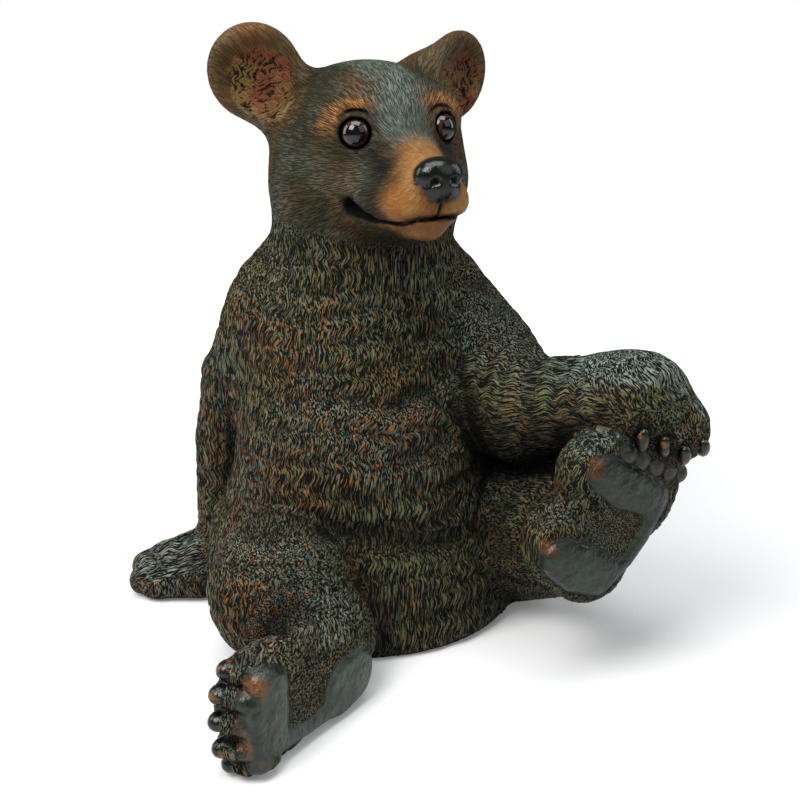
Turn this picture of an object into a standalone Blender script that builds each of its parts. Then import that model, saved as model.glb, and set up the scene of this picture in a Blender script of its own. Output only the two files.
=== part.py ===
# Seated bear cub garden statue, one hollow resin casting with two inset glass eyes.
# The form is given in shares of its own height and scaled once. The ground is Z = 0,
# the origin is the middle of the flat base, the bear faces -Y and its left is +X.
import bpy
import numpy as np
from mathutils.kdtree import KDTree

# Driving sizes, in metres
HEIGHT = 0.60
EYE_BALL = 0.0135
EYE_GAP = 0.0003
LOCK_LONG = 0.046
LOCK_WIDE = 0.020
LOCK_HIGH = 0.0036
LOCK_ROW = 0.060
GRID = 0.0042
BEAR_TRIANGLES = 8500
EYE_SEGMENTS = 18
EYE_RINGS = 10

# Head placement and attitude, in shares of the height and degrees
HEAD_AT = np.array([0.0, -0.03, 0.80])
HEAD_YAW = 3.5
HEAD_ROLL = 2.5
EYE_SHARE = EYE_BALL / HEIGHT
EYE_PLACE = (0.0705, 0.137, 0.037)
EYE_SPLAY = 23.0
FAR = 9.0


def unit(v):
    v = np.asarray(v, float)
    return v / np.linalg.norm(v)


def turn(x=0.0, z=0.0):
    x, z = np.radians([x, z])
    rx = np.array([[1, 0, 0], [0, np.cos(x), np.sin(x)], [0, -np.sin(x), np.cos(x)]])
    rz = np.array([[np.cos(z), np.sin(z), 0], [-np.sin(z), np.cos(z), 0], [0, 0, 1]])
    return rx @ rz


def head_axes():
    y, r = np.radians([HEAD_YAW, HEAD_ROLL])
    forward = np.array([np.sin(y), -np.cos(y), 0.0])
    left = np.array([np.cos(y), np.sin(y), 0.0])
    up = np.array([0.0, 0.0, 1.0])
    return np.array([left * np.cos(r) + up * np.sin(r), forward, up * np.cos(r) - left * np.sin(r)])


HEAD = head_axes()


def hp(x, y, z):
    return HEAD_AT + np.array([x, y, z]) @ HEAD


# Signed-distance shapes: negative inside
class Ball:
    def __init__(self, centre, radii, axes=None):
        self.c = np.asarray(centre, np.float32)
        self.r = np.broadcast_to(np.asarray(radii, np.float32), (3,)).astype(np.float32)
        self.a = None if axes is None else np.asarray(axes, np.float32)
        self.mid = self.c
        self.reach = float(self.r.max())

    def __call__(self, p):
        q = p - self.c
        if self.a is not None:
            q = q @ self.a.T
        q = q / self.r
        k0 = np.sqrt((q * q).sum(1))
        k1 = np.sqrt(((q / self.r) ** 2).sum(1))
        return k0 * (k0 - 1.0) / np.maximum(k1, 1e-6)


class Limb:
    def __init__(self, points, radii):
        self.p = np.asarray(points, np.float32)
        self.r = np.asarray(radii, np.float32)
        low, high = self.p.min(0), self.p.max(0)
        self.mid = (low + high) / 2
        self.reach = float(np.linalg.norm(high - low) / 2 + self.r.max())

    def __call__(self, p):
        best = None
        for a, b, ra, rb in zip(self.p[:-1], self.p[1:], self.r[:-1], self.r[1:]):
            ab = b - a
            h = np.clip(((p - a) @ ab) / float(ab @ ab), 0, 1)
            q = p - a - h[:, None] * ab
            d = np.sqrt((q * q).sum(1)) - (ra + h * (rb - ra))
            best = d if best is None else np.minimum(best, d)
        return best


class Slab:
    def __init__(self, point, normal):
        self.o = np.asarray(point, np.float32)
        self.n = unit(normal).astype(np.float32)
        self.mid = self.o
        self.reach = FAR

    def __call__(self, p):
        return (p - self.o) @ self.n


def along(q, points):
    best, share = None, None
    pieces = len(points) - 1
    for i, (a, b) in enumerate(zip(points[:-1], points[1:])):
        ab = b - a
        h = np.clip(((q - a) @ ab) / float(ab @ ab), 0, 1)
        d = np.linalg.norm(q - a - h[:, None] * ab, axis=1)
        if best is None:
            best, share = d, (i + h) / pieces
        else:
            share = np.where(d < best, (i + h) / pieces, share)
            best = np.minimum(best, d)
    return best, share


class Groove:
    """A soft dent along a line. With drop, the distance ignores that local axis."""

    def __init__(self, points, width, depth, origin=(0, 0, 0), axes=None, drop=None, least=None, fade=0.25):
        self.o = np.asarray(origin, np.float32)
        self.a = np.eye(3, dtype=np.float32) if axes is None else np.asarray(axes, np.float32)
        self.points = np.asarray(points, np.float32)
        self.w, self.depth, self.drop, self.least, self.fade = width, depth, drop, least, fade
        world = self.o + self.points @ self.a
        low, high = world.min(0), world.max(0)
        self.mid = (low + high) / 2
        spare = 0.12 if drop is not None else 0.0
        self.reach = float(np.linalg.norm(high - low) / 2 + 3 * width + spare)

    def __call__(self, p):
        q = (p - self.o) @ self.a.T
        line = self.points
        here = 1.0 if self.least is None else np.clip((q[:, 1] - self.least) / 0.01, 0, 1)
        if self.drop is not None:
            kept = [i for i in range(3) if i != self.drop]
            q, line = q[:, kept], line[:, kept]
        d, share = along(q, line)
        ends = 1.0
        if self.fade:
            ends = np.clip(np.minimum(share, 1 - share) / self.fade, 0, 1)
        return (self.depth * np.exp(-((d / self.w) ** 2)) * here * ends).astype(np.float32)


def smin(a, b, k):
    h = np.maximum(k - np.abs(a - b), 0) / k
    return np.minimum(a, b) - h * h * k * 0.25


class Clay:
    """Shapes added, cut, kept within or dented in order, each with its own blend."""

    def __init__(self):
        self.steps = []
        self.mid = np.zeros(3, np.float32)
        self.reach = FAR

    def add(self, shape, blend):
        self.steps.append((shape, blend, "add"))

    def cut(self, shape, blend):
        self.steps.append((shape, blend, "cut"))

    def keep(self, shape, blend):
        self.steps.append((shape, blend, "keep"))

    def dent(self, shape):
        self.steps.append((shape, 0.0, "dent"))

    def bound(self):
        low = np.min([s.mid - s.reach for s, b, kind in self.steps if kind == "add"], 0)
        high = np.max([s.mid + s.reach for s, b, kind in self.steps if kind == "add"], 0)
        self.mid = (low + high) / 2
        self.reach = float(np.linalg.norm(high - low) / 2)
        return self

    def __call__(self, p):
        d = np.full(len(p), FAR, np.float32)
        for shape, blend, kind in self.steps:
            if kind == "keep":
                d = -smin(-d, -shape(p), blend)
                continue
            q = p - shape.mid
            reach = shape.reach if kind == "dent" else shape.reach * 1.15 + blend * 1.2 + 0.04
            near = np.flatnonzero((q * q).sum(1) < reach**2)
            if len(near) == 0:
                continue
            e = shape(p[near])
            if kind == "add":
                d[near] = smin(d[near], e, blend)
            elif kind == "cut":
                d[near] = -smin(-d[near], e, blend)
            else:
                d[near] += e
        return d


def hball(centre, radii):
    return Ball(hp(*centre), radii, HEAD)


def hlimb(points, radii):
    return Limb([hp(*p) for p in points], radii)


def eye_frames():
    frames = []
    for side in (-1, 1):
        look = turn(z=-side * EYE_SPLAY) @ HEAD
        frames.append((hp(side * EYE_PLACE[0], EYE_PLACE[1], EYE_PLACE[2]), look))
    return frames


def torso(c):
    c.add(Ball((0, 0.005, 0.10), (0.280, 0.268, 0.20)), 0.05)
    c.add(Ball((0, -0.008, 0.02), (0.262, 0.251, 0.07)), 0.05)
    c.add(Ball((0, -0.030, 0.27), (0.222, 0.215, 0.20)), 0.08)
    c.add(Ball((0, 0.015, 0.43), (0.190, 0.175, 0.20)), 0.12)
    c.add(Ball((-0.105, 0.035, 0.500), (0.100, 0.10, 0.105)), 0.08)
    c.add(Ball((0.110, 0.020, 0.515), (0.095, 0.10, 0.105)), 0.08)
    c.add(Limb([(0, 0.02, 0.54), (0, -0.010, 0.71)], (0.165, 0.142)), 0.08)
    c.add(Ball((0.0, 0.268, 0.080), (0.034, 0.042, 0.032)), 0.02)


# Soft skin folds of the chest and the belly: points, width, depth
FOLDS = [
    ([(0.000, -0.180, 0.484), (0.082, -0.154, 0.519), (0.130, -0.146, 0.540)], 0.022, 0.006),
    ([(-0.040, -0.210, 0.400), (0.053, -0.187, 0.437), (0.125, -0.176, 0.476)], 0.022, 0.007),
    ([(-0.040, -0.235, 0.332), (0.057, -0.222, 0.354), (0.128, -0.226, 0.386)], 0.022, 0.007),
    ([(0.010, -0.242, 0.262), (0.113, -0.215, 0.285), (0.150, -0.198, 0.303)], 0.020, 0.005),
    ([(-0.200, -0.222, 0.239), (-0.148, -0.228, 0.227), (-0.103, -0.231, 0.215), (-0.033, -0.250, 0.207),
      (0.029, -0.251, 0.198), (0.087, -0.238, 0.190), (0.160, -0.232, 0.190)], 0.020, 0.010),
    ([(-0.150, -0.136, 0.423), (-0.096, -0.178, 0.421), (-0.036, -0.197, 0.424)], 0.020, 0.004),
]


def folds(c):
    for points, width, depth in FOLDS:
        c.dent(Groove(points, width, depth))


# The mouth line seen from the side, in head axes
MOUTH = [(0, 0.300, -0.0705), (0, 0.272, -0.0785), (0, 0.240, -0.0885), (0, 0.205, -0.0925),
         (0, 0.180, -0.0890), (0, 0.165, -0.0780)]
# Hollow at each corner of the mouth, from its back to its front
MOUTH_CORNER = [(0.0865, 0.150, -0.0665), (0.079, 0.162, -0.0735), (0.066, 0.181, -0.0820)]


def skull(c):
    c.add(hball((0, -0.005, 0.018), (0.155, 0.150, 0.124)), 0.04)
    c.add(hball((0, 0.060, 0.040), (0.112, 0.080, 0.072)), 0.05)
    for s in (-1, 1):
        c.add(hball((s * 0.083, 0.015, -0.055), (0.078, 0.090, 0.072)), 0.05)
        c.add(hball((s * 0.072, 0.096, 0.062), (0.044, 0.034, 0.032)), 0.035)


def muzzle(c):
    c.add(hlimb([(0, 0.08, -0.030), (0, 0.150, -0.048), (0, 0.222, -0.060)], (0.082, 0.069, 0.047)), 0.06)
    for s in (-1, 1):
        c.add(hball((s * 0.047, 0.130, -0.058), (0.037, 0.064, 0.041)), 0.05)
    c.add(hlimb([(0, 0.09, 0.014), (0, 0.250, -0.026)], (0.044, 0.030)), 0.04)
    for s in (-1, 1):
        c.add(hball((s * 0.027, 0.232, -0.061), (0.034, 0.046, 0.031)), 0.02)
    c.add(hlimb([(0, 0.07, -0.078), (0, 0.15, -0.086), (0, 0.230, -0.095)], (0.048, 0.040, 0.025)), 0.016)
    c.add(hball((0, 0.273, -0.018), (0.037, 0.026, 0.024)), 0.006)
    c.add(hball((0, 0.273, -0.035), (0.030, 0.024, 0.023)), 0.012)
    for s in (-1, 1):
        c.cut(hball((s * 0.0145, 0.298, -0.027), (0.0066, 0.011, 0.0058)), 0.004)
        c.cut(hlimb([(s * x, y, z) for x, y, z in MOUTH_CORNER], (0.0125, 0.0120, 0.0045)), 0.003)
        wing = [(s * 0.0145, 0.28, -0.0290), (s * 0.0250, 0.28, -0.0345), (s * 0.0370, 0.28, -0.0300)]
        c.dent(Groove(wing, 0.0022, 0.0022, HEAD_AT, HEAD, 1, 0.2, 0.2))
    lip = [(0, 0.28, -0.056), (0, 0.28, -0.066), (0, 0.28, -0.080)]
    c.dent(Groove(lip, 0.0028, 0.004, HEAD_AT, HEAD, 1, 0.2, 0))
    c.dent(Groove(MOUTH, 0.0032, 0.006, HEAD_AT, HEAD, 0, 0.12, 0))


def lid_crease():
    """Line of the crease above an eye, in the axes of its look."""
    angles = np.radians(np.arange(35, 151, 12))
    return [((EYE_SHARE + 0.012) * np.cos(t), 0, (EYE_SHARE + 0.0105) * np.sin(t)) for t in angles]


def eye_sockets(c):
    for at, look in eye_frames():
        lids = (EYE_SHARE + 0.0115, EYE_SHARE - 0.0015, EYE_SHARE + 0.0095)
        c.add(Ball(at - 0.006 * look[1], lids, look), 0.012)
        opening = (EYE_SHARE + 0.0027, EYE_SHARE + 0.0027, EYE_SHARE + 0.0015)
        c.cut(Ball(at + 0.005 * look[1], opening, look), 0.003)
        c.cut(Ball(at, EYE_SHARE + EYE_GAP / HEIGHT), 0.001)
        c.dent(Groove(lid_crease(), 0.0026, 0.0046, at, look, 1, -0.02, 0.3))


def ears(c):
    near = (-1, (-0.165, -0.048, 0.129), 0.0748, (0.118, -0.040, 0.084))
    off = (1, (0.190, -0.055, 0.108), 0.0740, (0.128, -0.040, 0.096))
    for s, at, r, base in (near, off):
        axes = turn(x=-12) @ turn(z=-s * 22) @ HEAD
        at = hp(*at)
        c.add(hball((s * base[0], base[1], base[2]), (0.062, 0.040, 0.055)), 0.03)
        c.add(Ball(at, (r, 0.030, r + 0.002), axes), 0.03)
        c.cut(Ball(at + 0.030 * axes[1], (r - 0.013, 0.034, r - 0.013), axes), 0.02)


# Tip and radius of each finger of the hand that rests on the ground
FINGERS_DOWN = (
    ((-0.373, 0.154, 0.042), 0.027),
    ((-0.385, 0.122, 0.030), 0.0255),
    ((-0.362, 0.102, 0.024), 0.024),
)


def right_arm(c):
    c.add(Limb([(-0.125, 0.05, 0.53), (-0.188, 0.112, 0.40)], (0.090, 0.070)), 0.05)
    elbow_down = [(-0.188, 0.112, 0.40), (-0.211, 0.135, 0.28), (-0.234, 0.130, 0.075)]
    c.add(Limb(elbow_down, (0.070, 0.062, 0.045)), 0.014)
    c.add(Limb([(-0.262, 0.132, 0.052), (-0.334, 0.142, 0.046)], (0.058, 0.042)), 0.02)
    c.add(Limb([(-0.362, 0.102, 0.024), (-0.290, 0.082, 0.026)], (0.024, 0.030)), 0.03)
    for tip, r in FINGERS_DOWN:
        c.add(Limb([(-0.31, 0.130, 0.036), tip], (0.036, r)), 0.014)


# Claw root and claw tip of each raised finger, thumb side first
CLAWS = (
    ((0.2638, -0.4019, 0.3959), (0.2665, -0.4108, 0.3793)),
    ((0.2896, -0.4375, 0.4084), (0.2935, -0.4241, 0.3731)),
    ((0.3214, -0.4455, 0.3980), (0.3326, -0.4248, 0.3591)),
    ((0.3514, -0.4547, 0.3833), (0.3687, -0.4260, 0.3423)),
    ((0.3840, -0.4552, 0.3919), (0.4080, -0.4172, 0.3472)),
)


def claw(root, tip, size=1.0):
    """A bean-shaped claw lying from its root to its tip."""
    root, tip = np.array(root), np.array(tip)
    long = unit(root - tip)
    side = unit(np.cross(long, (0, -1, 0)))
    middle = (root + tip) / 2 + (0, -0.012, 0.004)
    radii = np.array((0.0102, 0.0105, 0.0225)) * size
    return Ball(middle, radii, np.array([side, np.cross(long, side), long]))


def left_arm(c):
    upper_arm = [(0.125, 0.0, 0.54), (0.181, -0.11, 0.458), (0.208, -0.20, 0.385)]
    c.add(Limb(upper_arm, (0.098, 0.088, 0.082)), 0.025)
    c.add(Limb([(0.208, -0.20, 0.385), (0.29, -0.318, 0.420)], (0.082, 0.074)), 0.02)
    c.add(Ball((0.325, -0.362, 0.437), (0.082, 0.078, 0.070)), 0.03)
    c.add(Limb([(0.330, -0.370, 0.425), (0.372, -0.405, 0.395)], (0.070, 0.052)), 0.03)


def fingers(c):
    roots = [np.array(root) for root, tip in CLAWS]
    for i, (root, tip) in enumerate(CLAWS):
        k = 0.75 if i == 0 else 1.0
        lean = -0.024 if i == len(CLAWS) - 1 else -0.005
        knuckle = roots[i] + (lean, 0.036, 0.050)
        c.add(Limb([knuckle, roots[i] + (lean / 3, 0.018, 0.010)], (0.022 * k, 0.0160 * k)), 0.010)
        c.add(claw(root, tip, k), 0.002)
    # Furrows between the fingers, which cut straight back
    facing = np.diag([1.0, -1.0, 1.0])
    for a, b in zip(roots[1:-1], roots[2:]):
        x, z = (a[0] + b[0]) / 2, (a[2] + b[2]) / 2
        furrow = [(x - 0.012, 0.44, z + 0.055), (x - 0.004, 0.44, z + 0.025), (x, 0.44, z - 0.010)]
        c.dent(Groove(furrow, 0.0050, 0.0045, (0, 0, 0), facing, 1, 0.37, 0.9))


# Each foot: heel, direction of the toes, outward direction of the sole, direction of its inner edge
RIGHT_FOOT = ((-0.100, -0.356, 0.0), (-0.80, -0.60, 0.0), (0.60, -0.80, 0.0), (0, 0, 1))
LEFT_FOOT = ((0.2454, -0.4443, 0.1141), (0.665, 0.12, 0.734), (0.176, -0.979, 0.0), (-0.719, -0.129, 0.672))
# Bare pads of each sole as chains of distance from the heel, height across the sole and radius
RIGHT_PADS = (((0.045, 0.055, 0.044), (0.075, 0.052, 0.046)),
              ((0.236, 0.122, 0.034), (0.242, 0.086, 0.040), (0.243, 0.050, 0.036)),
              ((0.215, 0.034, 0.016), (0.150, 0.027, 0.014), (0.090, 0.030, 0.018)))
LEFT_PADS = (((0.028, 0.138, 0.034), (0.034, 0.100, 0.040), (0.045, 0.062, 0.036)),
             ((0.166, 0.163, 0.031), (0.172, 0.120, 0.036), (0.190, 0.055, 0.030)),
             ((0.190, 0.043, 0.018), (0.135, 0.027, 0.0155), (0.090, 0.028, 0.016), (0.050, 0.045, 0.020)))
# Toe pads: distance from the heel, height across the sole, distance in front of the sole
RIGHT_TOES = ((0.258, 0.025, 0.012), (0.266, 0.046, 0.003), (0.268, 0.082, 0.000), (0.264, 0.116, 0.000),
              (0.247, 0.141, 0.000))
LEFT_TOES = ((0.212, 0.152, 0.001), (0.219, 0.121, 0.001), (0.228, 0.090, 0.001), (0.238, 0.060, 0.000),
             (0.250, 0.032, -0.004))


def sole_place(foot_at):
    """Point on a sole by its three distances, and the axes of the sole."""
    heel, forward, sole, inner = foot_at
    axes = np.array([unit(forward), unit(inner), unit(sole)])

    def at(u, v, t):
        return np.array(heel) + np.array([u, v, t]) @ axes

    return at, axes


def pads(foot_at, chains):
    """The bare pads of a sole, flat in front and rounded at their edges."""
    at, axes = sole_place(foot_at)
    pad = Clay()
    for chain in chains:
        pad.add(Limb([at(u, v, -0.012) for u, v, r in chain], [r for u, v, r in chain]), 0.012)
    pad.keep(Slab(at(0, 0, 0.001), axes[2]), 0.014)
    return pad.bound()


def toe_claw(u, v, t):
    """Place of the claw that goes with a toe pad: the claws fan out a little."""
    return u + 0.013, v + 0.13 * (v - 0.080), t - 0.062


def right_foot():
    at, axes = sole_place(RIGHT_FOOT)
    f = Clay()
    f.add(Ball(at(0.068, 0.065, -0.038), (0.068, 0.059, 0.075), axes), 0.03)
    f.add(Ball(at(0.195, 0.082, -0.038), (0.086, 0.082, 0.075), axes), 0.05)
    f.keep(Slab(at(0, 0, -0.005), axes[2]), 0.022)
    f.add(pads(RIGHT_FOOT, RIGHT_PADS), 0.003)
    for u, v, t in RIGHT_TOES:
        claw_u, claw_v, claw_t = toe_claw(u, v, t)
        f.add(Ball(at(u - 0.010, (v + claw_v) / 2, t - 0.044), (0.036, 0.0178, 0.036), axes), 0.004)
        f.add(Ball(at(u + 0.001, v, t - 0.025), (0.020, 0.0160, 0.018), axes), 0.003)
        f.add(Ball(at(claw_u, claw_v, claw_t), (0.0175, 0.0138, 0.0150), axes), 0.002)
    return f.bound()


def left_foot():
    at, axes = sole_place(LEFT_FOOT)
    f = Clay()
    f.add(Ball(at(0.050, 0.098, -0.042), (0.064, 0.090, 0.075), axes), 0.03)
    f.add(Ball(at(0.068, 0.065, -0.038), (0.068, 0.059, 0.075), axes), 0.03)
    f.add(Ball(at(0.165, 0.112, -0.042), (0.072, 0.098, 0.072), axes), 0.04)
    f.add(Ball(at(0.190, 0.082, -0.038), (0.085, 0.082, 0.075), axes), 0.05)
    f.keep(Slab(at(0, 0, -0.005), axes[2]), 0.022)
    f.add(pads(LEFT_FOOT, LEFT_PADS), 0.003)
    for u, v, t in LEFT_TOES:
        f.add(Ball(at(u, v, t - 0.016), (0.0165, 0.0185, 0.0165), axes), 0.006)
    return f.bound()


def legs(c):
    c.add(Limb([(-0.10, -0.03, 0.12), (-0.198, -0.185, 0.125)], (0.12, 0.120)), 0.014)
    c.add(Limb([(-0.198, -0.185, 0.10), (-0.16, -0.28, 0.075)], (0.100, 0.080)), 0.03)
    c.add(Limb([(0.13, -0.02, 0.14), (0.24, -0.14, 0.16)], (0.14, 0.125)), 0.02)
    c.add(Limb([(0.24, -0.14, 0.17), (0.29, -0.30, 0.23)], (0.120, 0.092)), 0.03)
    c.add(Limb([(0.265, -0.12, 0.082), (0.285, -0.28, 0.148)], (0.080, 0.066)), 0.03)
    c.add(right_foot(), 0.02)
    c.add(left_foot(), 0.02)


def bear_form():
    c = Clay()
    torso(c)
    folds(c)
    skull(c)
    muzzle(c)
    eye_sockets(c)
    ears(c)
    right_arm(c)
    left_arm(c)
    legs(c)
    fingers(c)
    c.keep(Slab((0, 0, 0), (0, 0, -1)), 0.006)
    return c


def sampled(field, low, high, step):
    """Field values on a grid, worked out finely only near the surface."""
    counts = np.ceil((high - low) / step / 4).astype(int) * 4 + 1
    axes = [low[i] + step * np.arange(counts[i]) for i in range(3)]
    rough = np.stack(np.meshgrid(*[a[::4] for a in axes], indexing="ij"), -1)
    rough_d = field(rough.reshape(-1, 3).astype(np.float32)).reshape(rough.shape[:3])
    picks = [np.minimum((np.arange(n) + 2) // 4, (n - 1) // 4) for n in counts]
    d = rough_d[np.ix_(*picks)].copy()
    near = np.argwhere(np.abs(d) < 10 * step)
    points = low + step * near
    d[tuple(near.T)] = field(points.astype(np.float32))
    return d


def unpinched(d):
    """Sample values with a few signs changed so that no cell is crossed in two separate places."""
    tiny = 1e-5
    for _ in range(12):
        changed = 0
        for one, two in ((0, 1), (0, 2), (1, 2)):
            view = np.moveaxis(d, (one, two), (0, 1))
            a, b, c, e = view[:-1, :-1], view[1:, :-1], view[:-1, 1:], view[1:, 1:]
            first = (a < 0) & (e < 0) & (b >= 0) & (c >= 0)
            second = (a >= 0) & (e >= 0) & (b < 0) & (c < 0)
            b[first] = -tiny
            a[second] = -tiny
            changed += int(first.sum() + second.sum())
        inside = (d < 0).astype(np.int8)
        n = np.array(d.shape) - 1
        parts = {}
        for i in (0, 1):
            for j in (0, 1):
                for k in (0, 1):
                    parts[i, j, k] = inside[i : i + n[0], j : j + n[1], k : k + n[2]]
        total = sum(parts.values())
        for i, j, k in ((0, 0, 0), (1, 0, 0), (0, 1, 0), (0, 0, 1)):
            near_corner, far_corner = parts[i, j, k], parts[1 - i, 1 - j, 1 - k]
            lone = (total == 2) & (near_corner == 1) & (far_corner == 1)
            hole = (total == 6) & (near_corner == 0) & (far_corner == 0)
            at = np.argwhere(lone) + (i, j, k)
            d[tuple(at.T)] = tiny
            at_hole = np.argwhere(hole) + (i, j, k)
            d[tuple(at_hole.T)] = -tiny
            changed += len(at) + len(at_hole)
        if changed == 0:
            break
    return d


def surface_net(d, low, step):
    """One vertex in each cell that the surface crosses, and one quad across each crossed edge."""
    inside = d < 0
    cell_shape = np.array(d.shape) - 1
    total = np.zeros(cell_shape, np.int8)
    corners = [(i, j, k) for i in (0, 1) for j in (0, 1) for k in (0, 1)]
    for i, j, k in corners:
        total += inside[i : i + cell_shape[0], j : j + cell_shape[1], k : k + cell_shape[2]]
    active = (total > 0) & (total < 8)
    cells = np.argwhere(active)
    index = np.full(cell_shape, -1, np.int64)
    index[active] = np.arange(len(cells))
    place = np.zeros((len(cells), 3))
    count = np.zeros(len(cells))
    for a in corners:
        for axis in range(3):
            if a[axis]:
                continue
            b = tuple(v + (i == axis) for i, v in enumerate(a))
            da = d[tuple((cells + a).T)]
            db = d[tuple((cells + b).T)]
            crossed = (da < 0) != (db < 0)
            t = np.where(crossed, da / np.where(crossed, da - db, 1), 0)
            place += crossed[:, None] * (cells + a + t[:, None] * (np.array(b) - a))
            count += crossed
    vertices = low + step * place / count[:, None]
    quads = []
    for axis in range(3):
        one, two = (axis + 1) % 3, (axis + 2) % 3
        before = np.moveaxis(inside, axis, 0)[:-1]
        after = np.moveaxis(inside, axis, 0)[1:]
        edges = np.argwhere(np.moveaxis(before != after, 0, axis))
        edges = edges[(edges[:, one] > 0) & (edges[:, two] > 0)]
        e1 = np.eye(3, dtype=int)[one]
        e2 = np.eye(3, dtype=int)[two]
        ring = [index[tuple((edges - x).T)] for x in (e1 + e2, e2, 0 * e1, e1)]
        quad = np.stack(ring, 1)
        outward = inside[tuple(edges.T)]
        quads.append(np.where(outward[:, None], quad, quad[:, ::-1]))
    return vertices, np.concatenate(quads)


def subdivided(vertices, quads):
    """Each quad split in four at its middle and its edge middles."""
    sides = np.stack([quads, np.roll(quads, -1, 1)], -1).reshape(-1, 2)
    pairs, which = np.unique(np.sort(sides, axis=1), axis=0, return_inverse=True)
    which = which.reshape(-1, 4) + len(vertices)
    middles = vertices[pairs].mean(1)
    centres = vertices[quads].mean(1)
    centre = np.arange(len(quads)) + len(vertices) + len(middles)
    new = []
    for k in range(4):
        new.append(np.stack([quads[:, k], which[:, k], centre, which[:, k - 1]], 1))
    return np.concatenate([vertices, middles, centres]), np.concatenate(new)


def slope(field, p, h=0.0006):
    g = np.zeros_like(p)
    for v in ((1, -1, -1), (-1, -1, 1), (-1, 1, -1), (1, 1, 1)):
        v = np.array(v, np.float32)
        g += v * field(p + h * v)[:, None]
    return g / (4 * h)


def settled(field, p, most, rounds=3):
    """Points moved onto the surface, and the outward normals there."""
    p = p.astype(np.float32)
    for _ in range(rounds):
        g = slope(field, p)
        size = np.maximum((g * g).sum(1), 0.2)
        move = g * (field(p) / size)[:, None]
        length = np.maximum(np.linalg.norm(move, axis=1), 1e-9)
        p = p - move * np.minimum(1, most / length)[:, None]
    g = slope(field, p)
    return p, g / np.maximum(np.linalg.norm(g, axis=1), 1e-9)[:, None]


def near(p, points, reach):
    """1 close to a line of points, falling to 0 at its reach."""
    if len(points) > 1:
        d, _ = along(p, np.asarray(points, float))
    else:
        d = np.linalg.norm(p - points[0], axis=1)
    return np.clip(1.6 * (1 - d / reach), 0, 1)[:, None]


def growth(p, n):
    """The direction in which the coat lies at each point of the surface."""
    flow = np.tile(np.array([0.0, 0.0, -1.0]), (len(p), 1))
    q = (p - HEAD_AT) @ HEAD.T
    back = np.array([0, -1.0, 0]) @ HEAD
    on_head = np.clip((p[:, 2] - 0.68) / 0.06, 0, 1)[:, None]
    from_nose = (q - np.array([0, 0.30, -0.03])) @ HEAD
    from_nose = from_nose / np.linalg.norm(from_nose, axis=1)[:, None]
    flow = flow + on_head * (from_nose + 0.4 * back - flow)
    forearm = near(p, [(0.23, -0.24, 0.40), (0.36, -0.40, 0.42)], 0.14)
    flow = flow + forearm * (np.array([0.45, -0.55, -0.55]) - flow)
    shin = near(p, [(-0.20, -0.20, 0.11), (-0.24, -0.44, 0.08)], 0.15)
    flow = flow + shin * (np.array([-0.35, -0.6, -0.6]) - flow)
    hand = near(p, [(-0.26, 0.13, 0.05), (-0.38, 0.14, 0.03)], 0.10)
    flow = flow + hand * (np.array([-1.0, 0.1, -0.2]) - flow)
    flow = flow - n * (flow * n).sum(1)[:, None]
    weak = np.linalg.norm(flow, axis=1) < 0.05
    side = np.cross(n, np.array([1.0, 0.3, 0.1]))
    flow = np.where(weak[:, None], side, flow)
    return flow / np.maximum(np.linalg.norm(flow, axis=1), 1e-9)[:, None]


def coat_share(p, n):
    """1 where the coat is long, small on the face, 0 on pads, claws, nose, eyes and base."""
    q = (p - HEAD_AT) @ HEAD.T
    head = np.clip((p[:, 2] - 0.68) / 0.05, 0, 1)
    share = 1 - 0.65 * head
    share *= np.clip((0.17 - q[:, 1]) / 0.05, 0, 1) * head + (1 - head)
    for at, look in eye_frames():
        share *= np.clip((np.linalg.norm(p - at, axis=1) - 0.034) / 0.02, 0, 1)
    for heel, forward, sole, inner in (RIGHT_FOOT, LEFT_FOOT):
        r = p - np.array(heel)
        u, t, v = r @ unit(forward), r @ unit(sole), r @ unit(inner)
        inside = (u > -0.03) & (u < 0.33) & (v > -0.05) & (v < 0.19) & (t > -0.02 - 0.06 * (u > 0.225))
        share *= np.where(inside, 0.0, 1.0)
    for root, tip in CLAWS:
        share *= np.clip((along(p, np.array([root, tip]))[0] - 0.014) / 0.01, 0, 1)
    share *= np.clip(p[:, 2] / 0.02, 0, 1) * np.clip((n[:, 2] + 0.85) / 0.2, 0, 1)
    return share


def spread(p, gap, seed):
    """Points of p thinned so that none is nearer to another than the gap."""
    order = np.random.default_rng(seed).permutation(len(p))
    taken = {}
    kept = []
    for i in order:
        x, y, z = (p[i] / gap).astype(int)
        clash = False
        for a in (x - 1, x, x + 1):
            for b in (y - 1, y, y + 1):
                for c in (z - 1, z, z + 1):
                    for j in taken.get((a, b, c), ()):
                        clash = clash or ((p[i] - p[j]) ** 2).sum() < gap * gap
        if not clash:
            kept.append(i)
            taken.setdefault((x, y, z), []).append(i)
    return np.array(kept)


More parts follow.
